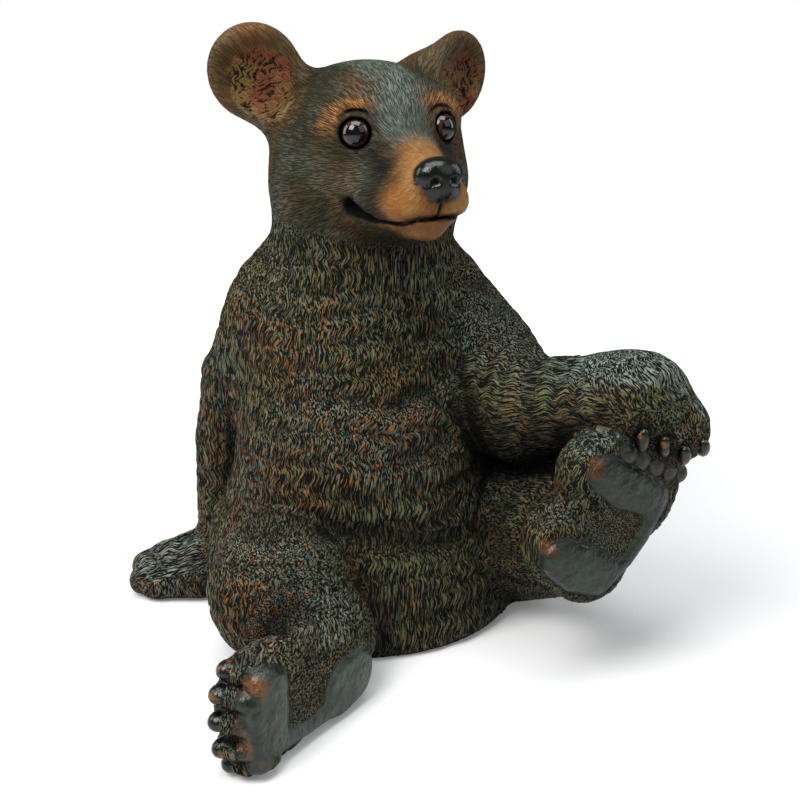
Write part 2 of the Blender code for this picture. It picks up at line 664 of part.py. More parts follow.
def locks(p, n):
    """Height of the carved locks of the coat at each point, in shares of the height."""
    long, wide = LOCK_LONG / HEIGHT, LOCK_WIDE / HEIGHT
    row = LOCK_ROW / HEIGHT
    seeds = spread(p, wide * 0.95, 5)
    at, up = p[seeds], n[seeds]
    flow = growth(at, up)
    across = np.cross(up, flow)
    wave = 2 * np.pi * at[:, 2] / row + 1.4 * np.sin(9 * at[:, 0] + 4) + 1.2 * np.sin(11 * at[:, 1])
    swing = 0.55 * np.sin(wave)
    bend = 0.55 * np.cos(wave) * 2 * np.pi / row
    turned = flow * np.cos(swing)[:, None] + across * np.sin(swing)[:, None]
    across = np.cross(up, turned)
    tree = KDTree(len(seeds))
    for i, point in enumerate(at):
        tree.insert(point, i)
    tree.balance()
    found = 5
    best = np.zeros(len(p))
    who = np.array([[hit[1] for hit in tree.find_n(point, found)] for point in p])
    for k in range(found):
        j = who[:, k]
        rel = p - at[j]
        u = (rel * turned[j]).sum(1)
        v = (rel * across[j]).sum(1) - 0.5 * bend[j] * u * np.abs(u) * 0.35
        shape = np.clip(1 - (2 * u / long) ** 2, 0, 1) * np.clip(1 - (2 * v / wide) ** 2, 0, 1)
        best = np.maximum(best, shape)
    return best * LOCK_HIGH / HEIGHT


def mesh_object(name, vertices, faces):
    mesh = bpy.data.meshes.new(name)
    mesh.from_pydata([tuple(v) for v in vertices.tolist()], [], faces.tolist())
    mesh.validate()
    obj = bpy.data.objects.new(name, mesh)
    bpy.context.scene.collection.objects.link(obj)
    return obj


def material(name, colour, roughness, metallic=0.0):
    m = bpy.data.materials.new(name)
    m.use_nodes = True
    shader = m.node_tree.nodes["Principled BSDF"]
    shader.inputs["Base Color"].default_value = (*colour, 1.0)
    shader.inputs["Roughness"].default_value = roughness
    shader.inputs["Metallic"].default_value = metallic
    return m


def applied(obj):
    """The object's modifiers made part of its mesh."""
    graph = bpy.context.evaluated_depsgraph_get()
    mesh = bpy.data.meshes.new_from_object(obj.evaluated_get(graph))
    obj.modifiers.clear()
    obj.data = mesh
    return obj


def ball_mesh(centre, look, radius):
    """A ball with its poles on the line of sight."""
    rings = np.linspace(0, np.pi, EYE_RINGS + 1)[1:-1]
    turns = np.arange(EYE_SEGMENTS) * 2 * np.pi / EYE_SEGMENTS
    points = [look[1]]
    for a in rings:
        for b in turns:
            points.append(np.cos(a) * look[1] + np.sin(a) * (np.cos(b) * look[0] + np.sin(b) * look[2]))
    points.append(-look[1])
    faces = []
    last = len(points) - 1
    for j in range(EYE_SEGMENTS):
        k = (j + 1) % EYE_SEGMENTS
        faces.append((0, 1 + k, 1 + j))
        for i in range(len(rings) - 1):
            a, b = 1 + i * EYE_SEGMENTS, 1 + (i + 1) * EYE_SEGMENTS
            faces.append((a + j, a + k, b + k))
            faces.append((a + j, b + k, b + j))
        a = 1 + (len(rings) - 1) * EYE_SEGMENTS
        faces.append((last, a + j, a + k))
    points = np.array(points)
    faces = np.array(faces)
    corner = points[faces]
    if np.linalg.det(corner).sum() < 0:
        faces = faces[:, ::-1]
    return centre + radius * points, faces


def bear_object():
    field = bear_form()
    step = GRID / HEIGHT
    low, high = np.array([-0.47, -0.62, -0.03]), np.array([0.49, 0.36, 1.03])
    values = unpinched(sampled(field, low, high, step))
    vertices, quads = surface_net(values, low, step)
    vertices, _ = settled(field, vertices, step / 2, 2)
    vertices, quads = subdivided(vertices, quads)
    vertices, normals = settled(field, vertices, step / 2, 2)
    vertices = vertices.astype(float)
    normals = normals.astype(float)
    raise_by = locks(vertices, normals) * coat_share(vertices, normals)
    vertices = vertices + normals * raise_by[:, None]
    vertices[:, 2] = np.where(vertices[:, 2] < 0.0012, 0.0, vertices[:, 2])
    bear = mesh_object("bear", vertices * HEIGHT, quads)
    triangulate = bear.modifiers.new("triangles", "TRIANGULATE")
    fewer = bear.modifiers.new("fewer", "DECIMATE")
    fewer.ratio = BEAR_TRIANGLES / (2 * len(quads))
    fewer.use_collapse_triangulate = True
    applied(bear)
    for vertex in bear.data.vertices:
        if vertex.co.z < 0.0006:
            vertex.co.z = 0.0
    return bear


def main():
    for obj in list(bpy.data.objects):
        bpy.data.objects.remove(obj, do_unlink=True)
    bear = bear_object()
    bear.data.materials.append(material("cast_coat", (0.045, 0.045, 0.035), 0.55))
    dark = (0.03, 0.012, 0.008)
    glass = (material("right_glass", dark, 0.05), material("left_glass", dark, 0.05))
    for (at, look), name, finish in zip(eye_frames(), ("eye_right", "eye_left"), glass):
        centre = at * HEIGHT
        eye = mesh_object(name, *ball_mesh(centre, look, EYE_BALL))
        eye.data.materials.append(finish)
        cutter = mesh_object("seat_" + name, *ball_mesh(centre, look, EYE_BALL + EYE_GAP))
        seat = bear.modifiers.new(name, "BOOLEAN")
        seat.operation = "DIFFERENCE"
        seat.solver = "EXACT"
        seat.object = cutter
        applied(bear)
        bpy.data.objects.remove(cutter, do_unlink=True)


main()
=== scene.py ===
# The looks of the seated bear cub: the carved and painted coat, bare pads, claws, nose and
# glass eyes, with a pale floor, soft light and the camera at the photograph's angle.
import math
import bpy
import numpy as np
from mathutils import Matrix, Vector
from mathutils.kdtree import KDTree


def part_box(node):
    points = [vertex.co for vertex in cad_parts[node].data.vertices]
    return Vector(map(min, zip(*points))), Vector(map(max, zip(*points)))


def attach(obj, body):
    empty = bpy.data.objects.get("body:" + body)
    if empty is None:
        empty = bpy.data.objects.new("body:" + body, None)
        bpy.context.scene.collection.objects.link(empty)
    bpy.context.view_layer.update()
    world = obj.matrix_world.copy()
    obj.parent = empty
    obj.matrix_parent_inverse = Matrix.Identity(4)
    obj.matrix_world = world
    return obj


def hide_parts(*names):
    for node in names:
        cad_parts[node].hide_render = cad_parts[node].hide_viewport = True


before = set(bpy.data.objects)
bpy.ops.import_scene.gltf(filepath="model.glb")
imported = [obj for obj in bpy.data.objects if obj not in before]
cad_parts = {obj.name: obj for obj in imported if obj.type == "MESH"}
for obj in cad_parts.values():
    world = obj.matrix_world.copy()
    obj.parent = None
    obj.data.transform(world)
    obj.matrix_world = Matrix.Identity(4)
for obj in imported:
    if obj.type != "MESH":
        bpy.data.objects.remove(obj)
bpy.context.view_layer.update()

# Sizes in metres. The ear tip is the highest point of the form, at this share of the height.
EAR_TIP = 0.9978
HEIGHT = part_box("bear")[1].z / EAR_TIP
EYE_BALL = (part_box("eye_right")[1].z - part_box("eye_right")[0].z) / 2
EYE_SHARE = EYE_BALL / HEIGHT
EYE_GAP = 0.0003
GRID = 0.0042
ROW = 0.0262
TRIANGLES = 196000
FINE_STEPS = 2

# Head placement and attitude, in shares of the height and degrees
HEAD_AT = np.array([0.0, -0.03, 0.80])
HEAD_YAW = 3.5
HEAD_ROLL = 2.5
EYE_PLACE = (0.0705, 0.137, 0.037)
EYE_SPLAY = 23.0
FAR = 9.0


def unit(v):
    v = np.asarray(v, float)
    return v / np.linalg.norm(v)


def turn(x=0.0, z=0.0):
    x, z = np.radians([x, z])
    rx = np.array([[1, 0, 0], [0, np.cos(x), np.sin(x)], [0, -np.sin(x), np.cos(x)]])
    rz = np.array([[np.cos(z), np.sin(z), 0], [-np.sin(z), np.cos(z), 0], [0, 0, 1]])
    return rx @ rz


def head_axes():
    y, r = np.radians([HEAD_YAW, HEAD_ROLL])
    forward = np.array([np.sin(y), -np.cos(y), 0.0])
    left = np.array([np.cos(y), np.sin(y), 0.0])
    up = np.array([0.0, 0.0, 1.0])
    return np.array([left * np.cos(r) + up * np.sin(r), forward, up * np.cos(r) - left * np.sin(r)])


HEAD = head_axes()


def hp(x, y, z):
    return HEAD_AT + np.array([x, y, z]) @ HEAD


# Signed-distance shapes: negative inside
class Ball:
    def __init__(self, centre, radii, axes=None):
        self.c = np.asarray(centre, np.float32)
        self.r = np.broadcast_to(np.asarray(radii, np.float32), (3,)).astype(np.float32)
        self.a = None if axes is None else np.asarray(axes, np.float32)
        self.mid = self.c
        self.reach = float(self.r.max())

    def __call__(self, p):
        q = p - self.c
        if self.a is not None:
            q = q @ self.a.T
        q = q / self.r
        k0 = np.sqrt((q * q).sum(1))
        k1 = np.sqrt(((q / self.r) ** 2).sum(1))
        return k0 * (k0 - 1.0) / np.maximum(k1, 1e-6)


class Limb:
    def __init__(self, points, radii):
        self.p = np.asarray(points, np.float32)
        self.r = np.asarray(radii, np.float32)
        low, high = self.p.min(0), self.p.max(0)
        self.mid = (low + high) / 2
        self.reach = float(np.linalg.norm(high - low) / 2 + self.r.max())

    def __call__(self, p):
        best = None
        for a, b, ra, rb in zip(self.p[:-1], self.p[1:], self.r[:-1], self.r[1:]):
            ab = b - a
            h = np.clip(((p - a) @ ab) / float(ab @ ab), 0, 1)
            q = p - a - h[:, None] * ab
            d = np.sqrt((q * q).sum(1)) - (ra + h * (rb - ra))
            best = d if best is None else np.minimum(best, d)
        return best


class Slab:
    def __init__(self, point, normal):
        self.o = np.asarray(point, np.float32)
        self.n = unit(normal).astype(np.float32)
        self.mid = self.o
        self.reach = FAR

    def __call__(self, p):
        return (p - self.o) @ self.n


def along(q, points):
    best, share = None, None
    pieces = len(points) - 1
    for i, (a, b) in enumerate(zip(points[:-1], points[1:])):
        ab = b - a
        h = np.clip(((q - a) @ ab) / float(ab @ ab), 0, 1)
        d = np.linalg.norm(q - a - h[:, None] * ab, axis=1)
        if best is None:
            best, share = d, (i + h) / pieces
        else:
            share = np.where(d < best, (i + h) / pieces, share)
            best = np.minimum(best, d)
    return best, share


class Groove:
    """A soft dent along a line. With drop, the distance ignores that local axis."""

    def __init__(self, points, width, depth, origin=(0, 0, 0), axes=None, drop=None, least=None,
                 fade=0.25):
        self.o = np.asarray(origin, np.float32)
        self.a = np.eye(3, dtype=np.float32) if axes is None else np.asarray(axes, np.float32)
        self.points = np.asarray(points, np.float32)
        self.w, self.depth, self.drop, self.least, self.fade = width, depth, drop, least, fade
        world = self.o + self.points @ self.a
        low, high = world.min(0), world.max(0)
        self.mid = (low + high) / 2
        spare = 0.12 if drop is not None else 0.0
        self.reach = float(np.linalg.norm(high - low) / 2 + 3 * width + spare)

    def __call__(self, p):
        q = (p - self.o) @ self.a.T
        line = self.points
        here = 1.0 if self.least is None else np.clip((q[:, 1] - self.least) / 0.01, 0, 1)
        if self.drop is not None:
            kept = [i for i in range(3) if i != self.drop]
            q, line = q[:, kept], line[:, kept]
        d, share = along(q, line)
        ends = 1.0
        if self.fade:
            ends = np.clip(np.minimum(share, 1 - share) / self.fade, 0, 1)
        return (self.depth * np.exp(-((d / self.w) ** 2)) * here * ends).astype(np.float32)


def smin(a, b, k):
    h = np.maximum(k - np.abs(a - b), 0) / k
    return np.minimum(a, b) - h * h * k * 0.25


class Clay:
    """Shapes added, cut, kept within or dented in order, each with its own blend."""

    def __init__(self):
        self.steps = []
        self.mid = np.zeros(3, np.float32)
        self.reach = FAR

    def add(self, shape, blend):
        self.steps.append((shape, blend, "add"))

    def cut(self, shape, blend):
        self.steps.append((shape, blend, "cut"))

    def keep(self, shape, blend):
        self.steps.append((shape, blend, "keep"))

    def dent(self, shape):
        self.steps.append((shape, 0.0, "dent"))

    def bound(self):
        low = np.min([s.mid - s.reach for s, b, kind in self.steps if kind == "add"], 0)
        high = np.max([s.mid + s.reach for s, b, kind in self.steps if kind == "add"], 0)
        self.mid = (low + high) / 2
        self.reach = float(np.linalg.norm(high - low) / 2)
        return self

    def __call__(self, p):
        d = np.full(len(p), FAR, np.float32)
        for shape, blend, kind in self.steps:
            if kind == "keep":
                d = -smin(-d, -shape(p), blend)
                continue
            q = p - shape.mid
            reach = shape.reach if kind == "dent" else shape.reach * 1.15 + blend * 1.2 + 0.04
            near = np.flatnonzero((q * q).sum(1) < reach**2)
            if len(near) == 0:
                continue
            e = shape(p[near])
            if kind == "add":
                d[near] = smin(d[near], e, blend)
            elif kind == "cut":
                d[near] = -smin(-d[near], e, blend)
            else:
                d[near] += e
        return d


def hball(centre, radii):
    return Ball(hp(*centre), radii, HEAD)


def hlimb(points, radii):
    return Limb([hp(*p) for p in points], radii)


def eye_frames():
    frames = []
    for side in (-1, 1):
        look = turn(z=-side * EYE_SPLAY) @ HEAD
        frames.append((hp(side * EYE_PLACE[0], EYE_PLACE[1], EYE_PLACE[2]), look))
    return frames


def torso(c):
    c.add(Ball((0, 0.005, 0.10), (0.280, 0.268, 0.20)), 0.05)
    c.add(Ball((0, -0.008, 0.02), (0.262, 0.251, 0.07)), 0.05)
    c.add(Ball((0, -0.030, 0.27), (0.222, 0.215, 0.20)), 0.08)
    c.add(Ball((0, 0.015, 0.43), (0.190, 0.175, 0.20)), 0.12)
    c.add(Ball((-0.105, 0.035, 0.500), (0.100, 0.10, 0.105)), 0.08)
    c.add(Ball((0.110, 0.020, 0.515), (0.095, 0.10, 0.105)), 0.08)
    c.add(Limb([(0, 0.02, 0.54), (0, -0.010, 0.71)], (0.165, 0.142)), 0.08)
    c.add(Ball((0.0, 0.268, 0.080), (0.034, 0.042, 0.032)), 0.02)


# Soft skin folds of the chest and the belly: points, width, depth
FOLDS = [
    ([(0.000, -0.180, 0.484), (0.082, -0.154, 0.519), (0.130, -0.146, 0.540)], 0.022, 0.006),
    ([(-0.040, -0.210, 0.400), (0.053, -0.187, 0.437), (0.125, -0.176, 0.476)], 0.022, 0.007),
    ([(-0.040, -0.235, 0.332), (0.057, -0.222, 0.354), (0.128, -0.226, 0.386)], 0.022, 0.007),
    ([(0.010, -0.242, 0.262), (0.113, -0.215, 0.285), (0.150, -0.198, 0.303)], 0.020, 0.005),
    ([(-0.200, -0.222, 0.239), (-0.148, -0.228, 0.227), (-0.103, -0.231, 0.215),
      (-0.033, -0.250, 0.207), (0.029, -0.251, 0.198), (0.087, -0.238, 0.190),
      (0.160, -0.232, 0.190)], 0.020, 0.010),
    ([(-0.150, -0.136, 0.423), (-0.096, -0.178, 0.421), (-0.036, -0.197, 0.424)], 0.020, 0.004),
]


def folds(c):
    for points, width, depth in FOLDS:
        c.dent(Groove(points, width, depth))


# The mouth line seen from the side, in head axes
MOUTH = [(0, 0.300, -0.0705), (0, 0.272, -0.0785), (0, 0.240, -0.0885), (0, 0.205, -0.0925),
         (0, 0.180, -0.0890), (0, 0.165, -0.0780)]
# Hollow at each corner of the mouth, from its back to its front
MOUTH_CORNER = [(0.0865, 0.150, -0.0665), (0.079, 0.162, -0.0735), (0.066, 0.181, -0.0820)]


def skull(c):
    c.add(hball((0, -0.005, 0.018), (0.155, 0.150, 0.124)), 0.04)
    c.add(hball((0, 0.060, 0.040), (0.112, 0.080, 0.072)), 0.05)
    for s in (-1, 1):
        c.add(hball((s * 0.083, 0.015, -0.055), (0.078, 0.090, 0.072)), 0.05)
        c.add(hball((s * 0.072, 0.096, 0.062), (0.044, 0.034, 0.032)), 0.035)


def muzzle(c):
    upper_jaw = [(0, 0.08, -0.030), (0, 0.150, -0.048), (0, 0.222, -0.060)]
    c.add(hlimb(upper_jaw, (0.082, 0.069, 0.047)), 0.06)
    for s in (-1, 1):
        c.add(hball((s * 0.047, 0.130, -0.058), (0.037, 0.064, 0.041)), 0.05)
    c.add(hlimb([(0, 0.09, 0.014), (0, 0.250, -0.026)], (0.044, 0.030)), 0.04)
    for s in (-1, 1):
        c.add(hball((s * 0.027, 0.232, -0.061), (0.034, 0.046, 0.031)), 0.02)
    lower_jaw = [(0, 0.07, -0.078), (0, 0.15, -0.086), (0, 0.230, -0.095)]
    c.add(hlimb(lower_jaw, (0.048, 0.040, 0.025)), 0.016)
    c.add(hball((0, 0.273, -0.018), (0.037, 0.026, 0.024)), 0.006)
    c.add(hball((0, 0.273, -0.035), (0.030, 0.024, 0.023)), 0.012)
    for s in (-1, 1):
        c.cut(hball((s * 0.0145, 0.298, -0.027), (0.0066, 0.011, 0.0058)), 0.004)
        c.cut(hlimb([(s * x, y, z) for x, y, z in MOUTH_CORNER], (0.0125, 0.0120, 0.0045)), 0.003)
        wing = [(s * 0.0145, 0.28, -0.0290), (s * 0.0250, 0.28, -0.0345), (s * 0.0370, 0.28, -0.0300)]
        c.dent(Groove(wing, 0.0022, 0.0022, HEAD_AT, HEAD, 1, 0.2, 0.2))
    lip = [(0, 0.28, -0.056), (0, 0.28, -0.066), (0, 0.28, -0.080)]
    c.dent(Groove(lip, 0.0028, 0.004, HEAD_AT, HEAD, 1, 0.2, 0))
    c.dent(Groove(MOUTH, 0.0032, 0.006, HEAD_AT, HEAD, 0, 0.12, 0))


def lid_crease():
    """Line of the crease above an eye, in the axes of its look."""
    angles = np.radians(np.arange(35, 151, 12))
    return [((EYE_SHARE + 0.012) * np.cos(t), 0, (EYE_SHARE + 0.0105) * np.sin(t)) for t in angles]


def eye_sockets(c):
    for at, look in eye_frames():
        lids = (EYE_SHARE + 0.0115, EYE_SHARE - 0.0015, EYE_SHARE + 0.0095)
        c.add(Ball(at - 0.006 * look[1], lids, look), 0.012)
        opening = (EYE_SHARE + 0.0027, EYE_SHARE + 0.0027, EYE_SHARE + 0.0015)
        c.cut(Ball(at + 0.005 * look[1], opening, look), 0.003)
        c.cut(Ball(at, EYE_SHARE + EYE_GAP / HEIGHT), 0.001)
        c.dent(Groove(lid_crease(), 0.0026, 0.0046, at, look, 1, -0.02, 0.3))


# Each ear: side, middle, radius, base, and the lowest point of its hollow in the ear's axes
EARS = (
    (-1, (-0.165, -0.048, 0.129), 0.0748, (-0.118, -0.040, 0.084), (0.012, -0.016)),
    (1, (0.190, -0.055, 0.108), 0.0740, (0.128, -0.040, 0.096), (0.004, -0.012)),
)


def ear_axes(s):
    return turn(x=-12) @ turn(z=-s * 22) @ HEAD


def ears(c):
    for s, at, r, base, _ in EARS:
        axes = ear_axes(s)
        at = hp(*at)
        c.add(hball(base, (0.062, 0.040, 0.055)), 0.03)
        c.add(Ball(at, (r, 0.030, r + 0.002), axes), 0.03)
        c.cut(Ball(at + 0.030 * axes[1], (r - 0.013, 0.034, r - 0.013), axes), 0.02)


# Tip and radius of each finger of the hand that rests on the ground
FINGERS_DOWN = (
    ((-0.373, 0.154, 0.042), 0.027),
    ((-0.385, 0.122, 0.030), 0.0255),
    ((-0.362, 0.102, 0.024), 0.024),
)


def right_arm(c):
    c.add(Limb([(-0.125, 0.05, 0.53), (-0.188, 0.112, 0.40)], (0.090, 0.070)), 0.05)
    elbow_down = [(-0.188, 0.112, 0.40), (-0.211, 0.135, 0.28), (-0.234, 0.130, 0.075)]
    c.add(Limb(elbow_down, (0.070, 0.062, 0.045)), 0.014)
    c.add(Limb([(-0.262, 0.132, 0.052), (-0.334, 0.142, 0.046)], (0.058, 0.042)), 0.02)
    c.add(Limb([(-0.362, 0.102, 0.024), (-0.290, 0.082, 0.026)], (0.024, 0.030)), 0.03)
    for tip, r in FINGERS_DOWN:
        c.add(Limb([(-0.31, 0.130, 0.036), tip], (0.036, r)), 0.014)


# Claw root and claw tip of each raised finger, thumb side first
CLAWS = (
    ((0.2638, -0.4019, 0.3959), (0.2665, -0.4108, 0.3793)),
    ((0.2896, -0.4375, 0.4084), (0.2935, -0.4241, 0.3731)),
    ((0.3214, -0.4455, 0.3980), (0.3326, -0.4248, 0.3591)),
    ((0.3514, -0.4547, 0.3833), (0.3687, -0.4260, 0.3423)),
    ((0.3840, -0.4552, 0.3919), (0.4080, -0.4172, 0.3472)),
)


def claw(root, tip, size=1.0):
    """A bean-shaped claw lying from its root to its tip."""
    root, tip = np.array(root), np.array(tip)
    long = unit(root - tip)
    side = unit(np.cross(long, (0, -1, 0)))
    middle = (root + tip) / 2 + (0, -0.012, 0.004)
    radii = np.array((0.0102, 0.0105, 0.0225)) * size
    return Ball(middle, radii, np.array([side, np.cross(long, side), long]))


def left_arm(c):
    upper_arm = [(0.125, 0.0, 0.54), (0.181, -0.11, 0.458), (0.208, -0.20, 0.385)]
    c.add(Limb(upper_arm, (0.098, 0.088, 0.082)), 0.025)
    c.add(Limb([(0.208, -0.20, 0.385), (0.29, -0.318, 0.420)], (0.082, 0.074)), 0.02)
    c.add(Ball((0.325, -0.362, 0.437), (0.082, 0.078, 0.070)), 0.03)
    c.add(Limb([(0.330, -0.370, 0.425), (0.372, -0.405, 0.395)], (0.070, 0.052)), 0.03)


def fingers(c):
    roots = [np.array(root) for root, tip in CLAWS]
    for i, (root, tip) in enumerate(CLAWS):
        k = 0.75 if i == 0 else 1.0
        lean = -0.024 if i == len(CLAWS) - 1 else -0.005
        knuckle = roots[i] + (lean, 0.036, 0.050)
        c.add(Limb([knuckle, roots[i] + (lean / 3, 0.018, 0.010)], (0.022 * k, 0.0160 * k)), 0.010)
        c.add(claw(root, tip, k), 0.002)
    # Furrows between the fingers, which cut straight back
    facing = np.diag([1.0, -1.0, 1.0])
    for a, b in zip(roots[1:-1], roots[2:]):
        x, z = (a[0] + b[0]) / 2, (a[2] + b[2]) / 2
        furrow = [(x - 0.012, 0.44, z + 0.055), (x - 0.004, 0.44, z + 0.025), (x, 0.44, z - 0.010)]
        c.dent(Groove(furrow, 0.0050, 0.0045, (0, 0, 0), facing, 1, 0.37, 0.9))


# Each foot: heel, direction of the toes, outward direction of the sole, direction of its inner edge
RIGHT_FOOT = ((-0.100, -0.356, 0.0), (-0.80, -0.60, 0.0), (0.60, -0.80, 0.0), (0, 0, 1))
LEFT_FOOT = ((0.2454, -0.4443, 0.1141), (0.665, 0.12, 0.734), (0.176, -0.979, 0.0),
             (-0.719, -0.129, 0.672))
# Bare pads of each sole as chains of distance from the heel, height across the sole and radius
RIGHT_PADS = (((0.045, 0.055, 0.044), (0.075, 0.052, 0.046)),
              ((0.236, 0.122, 0.034), (0.242, 0.086, 0.040), (0.243, 0.050, 0.036)),
              ((0.215, 0.034, 0.016), (0.150, 0.027, 0.014), (0.090, 0.030, 0.018)))
LEFT_PADS = (((0.028, 0.138, 0.034), (0.034, 0.100, 0.040), (0.045, 0.062, 0.036)),
             ((0.166, 0.163, 0.031), (0.172, 0.120, 0.036), (0.190, 0.055, 0.030)),
             ((0.190, 0.043, 0.018), (0.135, 0.027, 0.0155), (0.090, 0.028, 0.016),
              (0.050, 0.045, 0.020)))
# Toe pads: distance from the heel, height across the sole, distance in front of the sole
RIGHT_TOES = ((0.258, 0.025, 0.012), (0.266, 0.046, 0.003), (0.268, 0.082, 0.000),
              (0.264, 0.116, 0.000), (0.247, 0.141, 0.000))
LEFT_TOES = ((0.212, 0.152, 0.001), (0.219, 0.121, 0.001), (0.228, 0.090, 0.001),
             (0.238, 0.060, 0.000), (0.250, 0.032, -0.004))


def sole_place(foot_at):
    """Point on a sole by its three distances, and the axes of the sole."""
    heel, forward, sole, inner = foot_at
    axes = np.array([unit(forward), unit(inner), unit(sole)])

    def at(u, v, t):
        return np.array(heel) + np.array([u, v, t]) @ axes

    return at, axes


def pads(foot_at, chains):
    """The bare pads of a sole, flat in front and rounded at their edges."""
    at, axes = sole_place(foot_at)
    pad = Clay()
    for chain in chains:
        pad.add(Limb([at(u, v, -0.012) for u, v, r in chain], [r for u, v, r in chain]), 0.012)
    pad.keep(Slab(at(0, 0, 0.001), axes[2]), 0.014)
    return pad.bound()


def toe_claw(u, v, t):
    """Place of the claw that goes with a toe pad: the claws fan out a little."""
    return u + 0.013, v + 0.13 * (v - 0.080), t - 0.062


def right_foot():
    at, axes = sole_place(RIGHT_FOOT)
    f = Clay()
    f.add(Ball(at(0.068, 0.065, -0.038), (0.068, 0.059, 0.075), axes), 0.03)
    f.add(Ball(at(0.195, 0.082, -0.038), (0.086, 0.082, 0.075), axes), 0.05)
    f.keep(Slab(at(0, 0, -0.005), axes[2]), 0.022)
    f.add(pads(RIGHT_FOOT, RIGHT_PADS), 0.003)
    for u, v, t in RIGHT_TOES:
        claw_u, claw_v, claw_t = toe_claw(u, v, t)
        f.add(Ball(at(u - 0.010, (v + claw_v) / 2, t - 0.044), (0.036, 0.0178, 0.036), axes), 0.004)
        f.add(Ball(at(u + 0.001, v, t - 0.025), (0.020, 0.0160, 0.018), axes), 0.003)
        f.add(Ball(at(claw_u, claw_v, claw_t), (0.0175, 0.0138, 0.0150), axes), 0.002)
    return f.bound()


def left_foot():
    at, axes = sole_place(LEFT_FOOT)
    f = Clay()
    f.add(Ball(at(0.050, 0.098, -0.042), (0.064, 0.090, 0.075), axes), 0.03)
    f.add(Ball(at(0.068, 0.065, -0.038), (0.068, 0.059, 0.075), axes), 0.03)
    f.add(Ball(at(0.165, 0.112, -0.042), (0.072, 0.098, 0.072), axes), 0.04)
    f.add(Ball(at(0.190, 0.082, -0.038), (0.085, 0.082, 0.075), axes), 0.05)
    f.keep(Slab(at(0, 0, -0.005), axes[2]), 0.022)
    f.add(pads(LEFT_FOOT, LEFT_PADS), 0.003)
    for u, v, t in LEFT_TOES:
        f.add(Ball(at(u, v, t - 0.016), (0.0165, 0.0185, 0.0165), axes), 0.006)
    return f.bound()


def legs(c):
    c.add(Limb([(-0.10, -0.03, 0.12), (-0.198, -0.185, 0.125)], (0.12, 0.120)), 0.014)
    c.add(Limb([(-0.198, -0.185, 0.10), (-0.16, -0.28, 0.075)], (0.100, 0.080)), 0.03)
    c.add(Limb([(0.13, -0.02, 0.14), (0.24, -0.14, 0.16)], (0.14, 0.125)), 0.02)
    c.add(Limb([(0.24, -0.14, 0.17), (0.29, -0.30, 0.23)], (0.120, 0.092)), 0.03)
    c.add(Limb([(0.265, -0.12, 0.082), (0.285, -0.28, 0.148)], (0.080, 0.066)), 0.03)
    c.add(right_foot(), 0.02)
    c.add(left_foot(), 0.02)


def bear_form():
    c = Clay()
    torso(c)
    folds(c)
    skull(c)
    muzzle(c)
    eye_sockets(c)
    ears(c)
    right_arm(c)
    left_arm(c)
    legs(c)
    fingers(c)
    c.keep(Slab((0, 0, 0), (0, 0, -1)), 0.006)
    return c


def sampled(field, low, high, step):
    """Field values on a grid, worked out finely only near the surface."""
    counts = np.ceil((high - low) / step / 4).astype(int) * 4 + 1
    axes = [low[i] + step * np.arange(counts[i]) for i in range(3)]
    rough = np.stack(np.meshgrid(*[a[::4] for a in axes], indexing="ij"), -1)
    rough_d = field(rough.reshape(-1, 3).astype(np.float32)).reshape(rough.shape[:3])
    picks = [np.minimum((np.arange(n) + 2) // 4, (n - 1) // 4) for n in counts]
    d = rough_d[np.ix_(*picks)].copy()
    near = np.argwhere(np.abs(d) < 10 * step)
    points = low + step * near
    d[tuple(near.T)] = field(points.astype(np.float32))
    return d


def unpinched(d):
    """Sample values with a few signs changed so that no cell is crossed in two separate places."""
    tiny = 1e-5
    for _ in range(12):
        changed = 0
        for one, two in ((0, 1), (0, 2), (1, 2)):
            view = np.moveaxis(d, (one, two), (0, 1))
            a, b, c, e = view[:-1, :-1], view[1:, :-1], view[:-1, 1:], view[1:, 1:]
            first = (a < 0) & (e < 0) & (b >= 0) & (c >= 0)
            second = (a >= 0) & (e >= 0) & (b < 0) & (c < 0)
            b[first] = -tiny
            a[second] = -tiny
            changed += int(first.sum() + second.sum())
        inside = (d < 0).astype(np.int8)
        n = np.array(d.shape) - 1
        parts = {}
        for i in (0, 1):
            for j in (0, 1):
                for k in (0, 1):
                    parts[i, j, k] = inside[i : i + n[0], j : j + n[1], k : k + n[2]]
        total = sum(parts.values())
        for i, j, k in ((0, 0, 0), (1, 0, 0), (0, 1, 0), (0, 0, 1)):
            near_corner, far_corner = parts[i, j, k], parts[1 - i, 1 - j, 1 - k]
            lone = (total == 2) & (near_corner == 1) & (far_corner == 1)
            hole = (total == 6) & (near_corner == 0) & (far_corner == 0)
            at = np.argwhere(lone) + (i, j, k)
            d[tuple(at.T)] = tiny
            at_hole = np.argwhere(hole) + (i, j, k)
            d[tuple(at_hole.T)] = -tiny
            changed += len(at) + len(at_hole)
        if changed == 0:
            break
    return d


